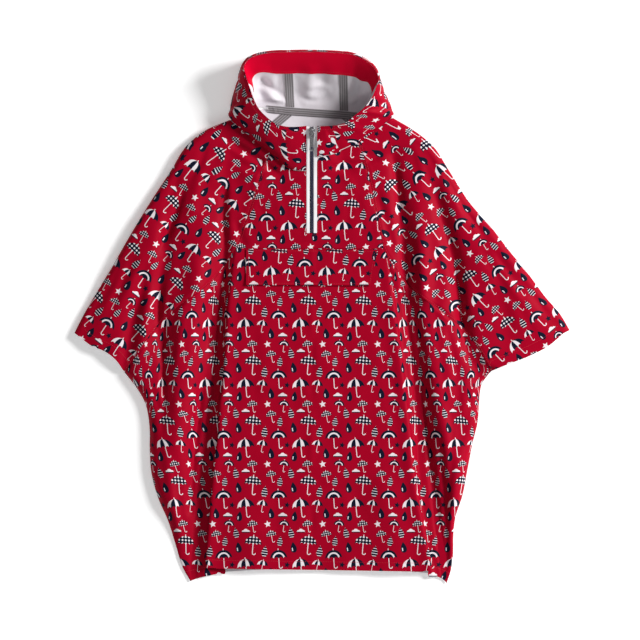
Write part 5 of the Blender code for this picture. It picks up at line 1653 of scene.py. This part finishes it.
@dataclass
class HoodShape:
    """The lying hood as sections: under, up its outside, over the brim, down its lining."""

    under_steps: int = 4
    outer_steps: int = 20
    facing_steps: int = 10
    lining_steps: int = 26
    wall: float = 0.6
    sections: dict = field(default_factory=dict)

    def __post_init__(self) -> None:
        """Keep the table as numbers."""
        self.data = np.array(HOOD, dtype=float)
        self.folds = with_paths(LINING_FOLDS)
        self.first_inner = self.under_steps + self.outer_steps + 2

    def station(self, u: float) -> HoodStation:
        """Row of the hood's table at a place between its stations."""
        last = len(self.data) - 1
        i = int(np.clip(np.floor(u), 0, last - 1))
        before, a, b, after = self.data[[max(i - 1, 0), i, i + 1, min(i + 2, last)]]
        row = hermite(u - i, a, b, (b - before) / 2, (after - a) / 2)
        row[2] = a[2] + (u - i) * (b[2] - a[2])
        return HoodStation(*row)

    @staticmethod
    def bezier(a: Points, b: Points, c: Points, d: Points, t: Points) -> Points:
        """Points of a cubic curve."""
        return (1 - t)**3 * a + 3 * (1 - t)**2 * t * b + 3 * (1 - t) * t**2 * c + t**3 * d

    def section(self, u: float) -> Points:
        """Points of one section, worked out once.

        Args:
            u: the place along the hood, counted in stations.

        Returns:
            Points of the underside, the outside, the brim, the facing zone and the lining.
        """
        key = round(u, 5)
        if key in self.sections:
            return self.sections[key]
        s = self.station(u)
        up = np.array([0.0, 0.0, 1.0])
        flat = np.array([1.0, 1.0, 1.0 - s.ground])
        o = FRONT.on_top(s.ox, s.oy) * flat
        b = np.array([s.bx, s.by, s.bz])
        lean = np.array([s.bx - s.ox, s.by - s.oy, 0.0])
        inward = np.array([s.fx - s.ox, s.fy - s.oy, 0.0])
        size, depth = np.linalg.norm(lean), np.linalg.norm(inward)
        thick = float(ramp((depth - 1.0) / 24.0))
        way = lean / size if size > 12.0 else inward / depth
        inward = way if depth < 3.0 else inward / depth
        tall = b[2] - o[2]
        t = np.linspace(0.0, 1.0, 49)[:, None]
        outer = self.bezier(o, o - way * 1.6 * s.bulge + up * tall * 0.42,
                            b - way * (4.0 + 0.5 * s.bulge) - up * tall * 0.06, b, t)
        across = np.cross(unit(np.gradient(outer, axis=0)), np.cross(way, up))
        across = across * np.sign((across * (way - 0.8 * up)).sum(axis=1))[:, None]
        spot = o + way * HOOD_WALL
        heel = FRONT.on_top(spot[0], spot[1])
        f_low = heel + thick * (np.array([s.fx, s.fy, s.fz]) - heel)
        f_top = f_low + up * (0.35 + 1.05 * thick)
        spread = 0.42 * np.linalg.norm((f_top - b)[:2]) * s.ground
        thin = outer + across * HOOD_WALL
        thin = thin + (1.0 - t) ** 2 * (f_top - thin[0])
        b_in = b + way * HOOD_WALL * (1.0 - thick) + inward * HOOD_WALL * thick - up * 0.4
        crown = self.bezier(f_top, f_top - inward * spread + up * (1.0 + 11.0 * (1.0 - s.ground)),
                            b_in + inward * min(spread, 34.0) - up * tall * 0.38, b_in, t)
        inner = (thin + (crown - thin) * thick)[::-1]
        lift = up * 0.35 * s.ground
        places = [o + (f_low - o) * share for share in
                  np.linspace(0.85, 0.0, self.under_steps + 1)[:-1]]
        under = [FRONT.on_top(place[0], place[1]) * flat + lift for place in places]
        outer = outer + lift * (1.0 - t) ** 2
        rim = b + way * HOOD_WALL * 0.5 + up * 0.5
        total = arc(inner, 0)[-1]
        deeper = FACING_DIP * float(ramp((u - 11.0) / 1.5) * ramp((17.2 - u) / 0.9))
        brim = min(FACING + deeper, 0.45 * total)
        outside = np.linspace(0.0, arc(outer, 0)[-1], self.outer_steps + 1)
        inside = np.append(np.linspace(0.0, brim, self.facing_steps + 1),
                           np.linspace(brim, total, self.lining_steps + 1)[1:])
        self.sections[key] = np.concatenate([under, at_lengths(outer, outside), rim[None],
                                             at_lengths(inner, inside)])
        return self.sections[key]

    def sheet(self, places: Points) -> tuple:
        """The hood's cloth between two places.

        Args:
            places: stations of its sections.

        Returns:
            Grid of points, sections by steps, and its outward normals.
        """
        grid = np.array([self.section(u) for u in places])
        x, y, along = grid[..., 0], grid[..., 1], places[:, None]
        steps, last = np.arange(grid.shape[1]), grid.shape[1] - 1
        waves = 1.1 * lattice_noise(x / 18.0, y / 21.0, 41) + 0.6 * lattice_noise(x / 8.0, y / 10.0, 43)
        deep = np.linalg.norm(grid[:, -1, :2] - grid[:, self.first_inner, :2], axis=-1)
        weight = (ramp((steps - self.first_inner) / 9.0) * ramp((last - steps) / 7.0)
                  * ramp((deep - 12.0) / 25.0)[:, None])
        for cut in HOOD_CUTS:
            weight = weight * (1.0 - 0.85 * np.exp(-((along - cut) / 0.5) ** 2))
        span = (steps - self.under_steps) / self.outer_steps
        puff = 0.8 * lattice_noise(along * 1.9, steps / 9.0, 47) * ramp(span / 0.3) * ramp((1 - span) / 0.25)
        height = (waves + relief(self.folds, x, y)) * weight + puff
        grid = grid + self.outward(grid) * height[..., None]
        return grid, self.outward(grid)

    def outward(self, grid: Points) -> Points:
        """Normals of the hood's cloth that point away from the hollow at its outside."""
        normals = grid_normals(grid)
        part = slice(self.under_steps + 2, self.under_steps + self.outer_steps - 2)
        away = grid[:, part, :2] - HOOD_MIDDLE
        return normals * np.sign((normals[:, part, :2] * away).sum())

    def lining(self, places: Points) -> tuple:
        """The lining alone: grid and normals, from the brim down to its inner end."""
        wide = np.concatenate([[places[0] - 0.15], places, [places[-1] + 0.15]])
        return tuple(part[1:-1, self.first_inner:] for part in self.sheet(wide))


@dataclass
class HoodPiece:
    """One of the hood's three pieces."""

    name: str
    start: float
    end: float
    shape: HoodShape
    per_station: float = 7.0

    def build(self) -> None:
        """Build the piece with its brim stitches."""
        shape, inner = self.shape, self.shape.first_inner
        count = int(round((self.end - self.start) * self.per_station)) + 1
        places = np.linspace(self.start, self.end, count)
        places[0] += HOOD_SEAM if self.start > 0 else 0.0
        places[-1] -= HOOD_SEAM if self.end < len(HOOD) - 1 else 0.0
        grid, normals = shape.sheet(places)
        run = arc(grid[:, shape.under_steps + shape.outer_steps // 2], 0)
        over = arc(grid, 1)
        over = over - over[:, [shape.under_steps]]
        if self.start >= HOOD_CUTS[1]:
            run, over = run[-1] - run, -over
        flat = np.stack([over, np.broadcast_to(run[:, None], over.shape)], axis=-1) + PRINT_SHIFT["hood"]
        flat[:, inner:] = grid[:, inner:, :2]
        cells = np.zeros((grid.shape[0] - 1, grid.shape[1] - 1), np.int32)
        cells[:, inner:] = 1
        piece = ClothPiece(self.name, grid - normals * shape.wall / 2, normals, flat, shape.wall,
                           lining_cells=cells)
        obj = piece.build()
        col = shape.under_steps + shape.outer_steps - 2
        line = grid[1:-1, col] + normals[1:-1, col] * 0.1
        sewn = sew(self.name + "_cloth_stitches", [line], up=normals[len(grid) // 2, col])
        piece.declare(obj, [sewn])


@dataclass
class HoodFacing:
    """The plain red band inside the brim."""

    shape: HoodShape
    name: str = "hood_facing"
    start: float = 8.0
    end: float = 18.5
    wall: float = 0.5

    def build(self) -> None:
        """Build the band and the stitches along its lower edge."""
        k = self.shape.facing_steps + 1
        grid, turn = [part[:, :k] for part in self.shape.lining(np.linspace(self.start, self.end, 84))]
        band = grid + turn * (self.wall / 2 + 0.12)
        flat = np.stack([arc(band, 0)[:, :1] + 0.0 * band[..., 0], arc(band, 1)], axis=-1)
        # The band's plain red is lighter than the printed red: painted light on the facing
        piece = ClothPiece(self.name, band, turn, flat, self.wall, Finish.PLAIN)
        obj = piece.build()
        sewn = sew("facing_stitches", [band[:, -2] + turn[:, -2] * 0.3], Slot.PLAIN, up=(0.0, -0.4, 0.9))
        piece.declare(obj, [sewn])


@dataclass
class HoodTape:
    """A grey tape over one of the hood's side seams, on the lining."""

    name: str
    station: float
    shape: HoodShape
    wall: float = 0.4
    columns: int = 7

    def build(self) -> None:
        """Build the tape."""
        grid, normals = self.shape.lining(self.station + np.linspace(-0.35, 0.35, 5))
        first = self.shape.facing_steps
        part = slice(first, first + int(round(2.72 / 3.0 * self.shape.lining_steps)) + 1)
        out = normals[2, part][:, None]
        side = unit(grid[4, part] - grid[0, part])[:, None]
        t = np.linspace(-0.5, 0.5, self.columns) * SEAM_TAPE
        tape = grid[2, part][:, None] + side * t[None, :, None] + out * 0.42
        flat = np.stack([np.broadcast_to(t, tape.shape[:2]), arc(tape, 0)], axis=-1)
        piece = ClothPiece(self.name, tape, np.broadcast_to(out, tape.shape), flat, self.wall,
                           Finish.TAPE)
        piece.declare(piece.build())


@dataclass
class NeckTape:
    """The grey tape over the neck seam inside the hood."""

    shape: HoodShape
    name: str = "neck_tape"
    wall: float = 0.4

    def build(self) -> None:
        """Build the tape."""
        places = np.linspace(10.0, 17.0, 90)
        grid = self.shape.lining(places)[0]
        share = self.shape.facing_steps + 2.8 / 3.0 * self.shape.lining_steps
        low = int(share)
        upper = grid[:, low] + (share - low) * (grid[:, low + 1] - grid[:, low]) + [0.0, 0.0, 0.5]
        middle = grid[:, -1] + [0.0, -0.4, 0.5]
        drop = grid[:, -1] + [0.0, -7.0, 0.0]
        drop[:, 2] = CLOTH + 0.65
        rows = [upper + (middle - upper) * f for f in (0.0, 0.33, 0.66)]
        rows += [middle + (drop - middle) * f for f in (0.0, 0.2, 0.4, 0.6, 0.8, 1.0)]
        tape = np.stack(rows, axis=1)
        crease = 0.5 * lattice_noise(places * 5.0, places * 0.0, 61)
        crease = crease * (1.0 + 2.5 * np.exp(-((places - 10.3) / 0.4) ** 2))
        tape[..., 2] += (crease[:, None] * [0, 0.3, 0.6, 1, 1, 1, 0.8, 0.4, 0]).clip(-0.1)
        flat = np.stack([arc(tape, 1), arc(tape, 0)[:, :1] + 0.0 * tape[..., 0]], axis=-1)
        piece = ClothPiece(self.name, tape, grid_normals(tape, upward=True), flat, self.wall,
                           Finish.TAPE)
        piece.declare(piece.build())


@dataclass
class RaglanTape:
    """A short stretch of grey tape over a back raglan seam, seen inside the neck."""

    name: str
    ends: tuple
    wall: float = 0.3

    def build(self) -> None:
        """Build the tape."""
        a, b = np.array(self.ends, dtype=float)
        size = float(np.linalg.norm(b - a))
        way = (b - a) / size
        s, t = np.meshgrid(np.linspace(0.0, size, 18), np.linspace(-0.5, 0.5, 6) * SEAM_TAPE,
                           indexing="ij")
        x, y = a[0] + s * way[0] - t * way[1], a[1] + s * way[1] + t * way[0]
        grid = np.stack([x, y, TAPE_HEIGHT + 0.05 * lattice_noise(x / 4.0, y / 4.0, 77)], axis=-1)
        up = np.zeros_like(grid) + [0.0, 0.0, 1.0]
        piece = ClothPiece(self.name, grid, up, np.stack([t, s], axis=-1), self.wall, Finish.TAPE)
        piece.declare(piece.build(in_solids=False))


# ---- zip

@dataclass
class Zip:
    """The closed zip: two woven tapes with their stitching, and the coil's teeth."""

    coil_width: float = 5.4
    pitch: float = 1.5
    tape_wall: float = 0.7

    def tape(self, side: str, x0: float, x1: float) -> bpy.types.Object:
        """Build one tape."""
        y, t = np.meshgrid(np.linspace(ZIP_BOTTOM + SEAM, ZIP_TOP, 170), np.linspace(0.0, 1.0, 7),
                           indexing="ij")
        x = x0 + t * (x1 - x0)
        z = zip_height(y) + 0.12 * np.sin(t * math.pi) + 0.10 * lattice_noise(y / 9.0, x / 3.0, 71)
        grid = np.stack([x, y, z], axis=-1)
        return ClothPiece(f"zip_tape_{side}", grid, grid_normals(grid, upward=True),
                          grid[..., :2], self.tape_wall, Finish.ZIP_TAPE).build()

    def bars(self, name: str, starts: list, ends: list, radius: float, *nodes: str) -> None:
        """Make navy bars between these lists of x, y and z."""
        starts, ends = [np.concatenate([np.column_stack(np.broadcast_arrays(*line)) for line in part])
                        for part in (starts, ends)]
        put_on(thread_row(name, starts, ends, radius, Finish.COIL), Slot.ZIP_COIL, *nodes)

    def build(self) -> list:
        """Build the tapes and the teeth, and return the two tapes."""
        slit, coil = ZIP_WIDTH / 2, self.coil_width / 2
        tapes = [self.tape("left", ZIP_X - slit + SEAM, ZIP_X - coil - 0.1),
                 self.tape("right", ZIP_X + coil + 0.1, ZIP_X + slit - SEAM)]
        starts, ends = [], []
        for side, shift in ((-1.0, 0.0), (1.0, self.pitch / 2)):
            y = np.arange(ZIP_BOTTOM + 1.0, ZIP_TOP - 0.8, self.pitch) + shift
            z = zip_height(y) + 0.45
            starts.append((ZIP_X + side * coil * 0.98, y, z))
            ends.append((ZIP_X - side * 0.75, y, z + 0.25))
        self.bars("zip_coil_teeth", starts, ends, 0.66, "zip_coil")
        y = np.arange(ZIP_BOTTOM + 1.0, ZIP_TOP - 1.0, 2.2)
        sides = [ZIP_X + side * coil * 0.62 for side in (-1.0, 1.0)]
        self.bars("zip_coil_sewing", [(x, y, zip_height(y) + 1.05) for x in sides],
                  [(x, y + 1.9, zip_height(y + 1.9) + 1.05) for x in sides], 0.2)
        return tapes


@dataclass
class Slider:
    """The zip's metal slider and its pull tab."""

    def frame_at(self) -> tuple:
        """Foot, forward and up directions of the slider, which leans with the zip."""
        lean = math.atan(float(zip_height(SLIDER_Y + 1.0) - zip_height(SLIDER_Y - 1.0)) / 2.0)
        return (np.array([ZIP_X, SLIDER_Y, float(zip_height(SLIDER_Y))]),
                np.array([0.0, math.cos(lean), math.sin(lean)]),
                np.array([0.0, -math.sin(lean), math.cos(lean)]))

    def plate(self, outlines: Sequence, low: float, high: float, bevel: float) -> bpy.types.Mesh:
        """A flat plate with rounded edges.

        Args:
            outlines: closed lines in the zip's plane, the outer one first, then its holes.
            low, high: its underside and top over the slider's foot.
            bevel: radius of its edges.

        Returns:
            A mesh in metres, in the object's frame.
        """
        curve = bpy.data.curves.new("plate", "CURVE")
        curve.dimensions = "2D"
        curve.fill_mode = "BOTH"
        curve.extrude = ((high - low) / 2 - bevel) * MM
        curve.bevel_depth = bevel * MM
        curve.bevel_resolution = 2
        curve.offset = -bevel * MM
        for outline in outlines:
            spline = curve.splines.new("POLY")
            spline.points.add(len(outline) - 1)
            for point, (x, y) in zip(spline.points, outline):
                point.co = (x * MM, y * MM, 0.0, 1.0)
            spline.use_cyclic_u = True
        made = bpy.data.objects.new("plate", curve)
        bpy.context.scene.collection.objects.link(made)
        bpy.context.view_layer.update()
        mesh = bpy.data.meshes.new_from_object(made.evaluated_get(
            bpy.context.evaluated_depsgraph_get()))
        bpy.data.objects.remove(made, do_unlink=True)
        bpy.data.curves.remove(curve)
        foot, forth, up = self.frame_at()
        co = np.empty(len(mesh.vertices) * 3)
        mesh.vertices.foreach_get("co", co)
        co = co.reshape(-1, 3) + [0.0, 0.0, ((low + high) / 2 + SLIDER_LIFT) * MM]
        mesh.vertices.foreach_set("co", (foot * MM + co @ [(1.0, 0.0, 0.0), forth, up]).ravel())
        mesh.update()
        return mesh

    @staticmethod
    def round_box(x0: float, y0: float, x1: float, y1: float, radius: float) -> list:
        """Outline of a rectangle with round corners."""
        points = []
        for cx, cy, start in ((x1 - radius, y1 - radius, 0), (x0 + radius, y1 - radius, 90),
                              (x0 + radius, y0 + radius, 180), (x1 - radius, y0 + radius, 270)):
            for angle in np.radians(np.linspace(start, start + 90, 6)):
                points.append((cx + radius * math.cos(angle), cy + radius * math.sin(angle)))
        return points

    @staticmethod
    def symmetric(half: Sequence) -> list:
        """Outline from its right half, given from top to bottom."""
        line = Path(half, steps=10).points
        return [tuple(p) for p in line] + [(-p[0], p[1]) for p in line[::-1]]

    @staticmethod
    def join(name: str, meshes: Sequence[bpy.types.Mesh]) -> bpy.types.Object:
        """Join meshes into one object with the metal finish."""
        bm = bmesh.new()
        for mesh in meshes:
            bm.from_mesh(mesh)
            bpy.data.meshes.remove(mesh)
        bmesh.ops.remove_doubles(bm, verts=bm.verts, dist=0.00001)
        bmesh.ops.recalc_face_normals(bm, faces=bm.faces)
        mesh = bpy.data.meshes.new(name)
        bm.to_mesh(mesh)
        bm.free()
        return finished_object(name, mesh, Finish.METAL, 38.0)

    def build(self) -> None:
        """Build the slider and the tab."""
        body = self.symmetric(((0.3, 6.9), (2.6, 6.7), (4.2, 5.4), (4.4, 2.0), (3.9, -2.0),
                               (3.5, -5.4), (2.2, -6.8), (0.3, -6.95)))
        parts = [self.plate([body], 1.5, 3.0, 0.4)]
        for side in (-1.0, 1.0):
            flange = [(side * x, y) for x, y in ((3.3, 5.6), (4.35, 5.2), (4.4, 2.0), (3.95, -2.0),
                                                 (3.6, -5.0), (3.0, -5.6), (3.1, -2.0), (3.4, 2.0))]
            parts.append(self.plate([flange], -0.5, 2.0, 0.2))
        for y0, y1 in ((-4.8, -3.0), (3.0, 4.8)):
            parts.append(self.plate([self.round_box(-1.45, y0, 1.45, y1, 0.4)], 2.7, 6.2, 0.25))
        bridge = self.symmetric(((0.2, 4.9), (1.1, 4.7), (1.45, 3.4), (1.25, 0.0), (1.45, -3.4),
                                 (1.1, -4.7), (0.2, -4.9)))
        parts.append(self.plate([bridge], 5.7, 7.0, 0.4))
        put_on(self.join("slider_metal", parts), Slot.METAL, "slider")
        outline = self.symmetric(((0.3, 0.68), (2.6, 0.6), (3.3, -0.4), (3.4, -5.0), (2.9, -9.5),
                                  (2.35, -13.5), (2.5, -17.5), (3.2, -21.5), (3.42, -24.6),
                                  (2.6, -26.6), (0.3, -26.95)))
        holes = [self.round_box(-2.05, -6.7, 2.05, -0.7, 0.8),
                 self.round_box(-1.7, -24.6, 1.7, -20.6, 1.1)]
        tab = self.plate([outline] + holes, TAB_HINGE - 0.6, TAB_HINGE + 0.6, 0.28)
        put_on(self.join("pull_tab_metal", [tab]), Slot.METAL, "pull_tab", body=ZIP_PULL)


# ---- studio

@dataclass
class Studio:
    """Floor, soft light and the camera straight above."""

    width: float = 0.928
    centre: tuple = (-0.0029, -0.0022)
    distance: float = 8.0
    key: float = 240.0
    fill: float = 22.0
    sky: float = 0.20
    glow: float = 0.30
    backdrop: float = 0.92
    reach: float = 9.0

    def floor(self) -> None:
        """Build the pale floor."""
        mesh = bpy.data.meshes.new("floor")
        n = 9
        span = np.linspace(-self.reach, self.reach, n)
        verts = [(x, y, -0.0002) for y in span for x in span]
        faces = [(j * n + i, j * n + i + 1, (j + 1) * n + i + 1, (j + 1) * n + i)
                 for j in range(n - 1) for i in range(n - 1)]
        mesh.from_pydata(verts, [], faces)
        material = bpy.data.materials.new("pale_floor")
        material.use_nodes = True
        shader = material.node_tree.nodes["Principled BSDF"]
        place = add_node(material.node_tree, "ShaderNodeTexCoord")
        spread = add_noise(material.node_tree, place.outputs["Object"], Scale=3.0)
        color = mix_colors(spread, (0.965, 0.965, 0.968, 1), (0.98, 0.98, 0.98, 1))
        material.node_tree.links.new(color, shader.inputs["Base Color"])
        shader.inputs["Roughness"].default_value = 0.9
        shader.inputs["Specular IOR Level"].default_value = 0.1
        shader.inputs["Emission Color"].default_value = (1.0, 1.0, 1.0, 1.0)
        shader.inputs["Emission Strength"].default_value = self.glow
        mesh.materials.append(material)
        obj = bpy.data.objects.new("floor", mesh)
        bpy.context.scene.collection.objects.link(obj)

    @staticmethod
    def lamp(name: str, place: tuple, size: float, power: float) -> None:
        """Add a square soft light that looks at the garment."""
        data = bpy.data.lights.new(name, "AREA")
        data.energy = power
        data.size = size
        obj = bpy.data.objects.new(name, data)
        obj.location = place
        obj.rotation_mode = "QUATERNION"
        obj.rotation_quaternion = (-Vector(place)).to_track_quat("-Z", "Y")
        bpy.context.scene.collection.objects.link(obj)

    def build(self) -> None:
        """Build the floor, the lights and the camera."""
        self.floor()
        self.lamp("key_light", (3.3, 1.25, 2.15), 1.3, self.key)
        self.lamp("fill_light", (-0.6, -2.6, 2.4), 2.0, self.fill)
        world = bpy.data.worlds.new("soft_room")
        world.use_nodes = True
        back = world.node_tree.nodes["Background"]
        back.inputs[0].default_value = (1.0, 1.0, 1.0, 1.0)
        path = add_node(world.node_tree, "ShaderNodeLightPath")
        seen = Wire(world.node_tree, path.outputs["Is Camera Ray"])
        world.node_tree.links.new((seen * (self.backdrop - self.sky) + self.sky).socket,
                                  back.inputs[1])
        bpy.context.scene.world = world
        bpy.context.scene.view_settings.view_transform = "Standard"
        data = bpy.data.cameras.new("camera_above")
        data.sensor_width = 36.0
        data.lens = 36.0 * self.distance / self.width
        data.clip_end = 20.0
        camera = bpy.data.objects.new("camera_above", data)
        camera.location = (self.centre[0], self.centre[1], self.distance + 0.02)
        bpy.context.scene.collection.objects.link(camera)
        bpy.context.scene.camera = camera


# ---- assembly

def main() -> None:
    """Build every piece in order."""
    logging.basicConfig(level=logging.INFO, format="%(name)s: %(message)s")
    Studio().build()
    BackPanel().build()
    LowerFront().build()
    Sleeve("sleeve_left", "w").build()
    Sleeve("sleeve_right", "e").build()
    Yoke().build(Zip().build())
    PocketFlap().build()
    shape = HoodShape()
    HoodPiece("hood_side_left", 0, HOOD_CUTS[0], shape).build()
    HoodPiece("hood_centre", HOOD_CUTS[0], HOOD_CUTS[1], shape, 12.0).build()
    HoodPiece("hood_side_right", HOOD_CUTS[1], len(HOOD) - 1, shape).build()
    HoodFacing(shape).build()
    HoodTape("hood_tape_left", HOOD_CUTS[0], shape).build()
    HoodTape("hood_tape_right", HOOD_CUTS[1], shape).build()
    NeckTape(shape).build()
    RaglanTape("raglan_tape_left", ((-73.0, 278.0), (-48.0, 299.0))).build()
    RaglanTape("raglan_tape_right", ((54.0, 274.0), (30.0, 298.0))).build()
    Slider().build()


if __name__ == "__main__":
    main()
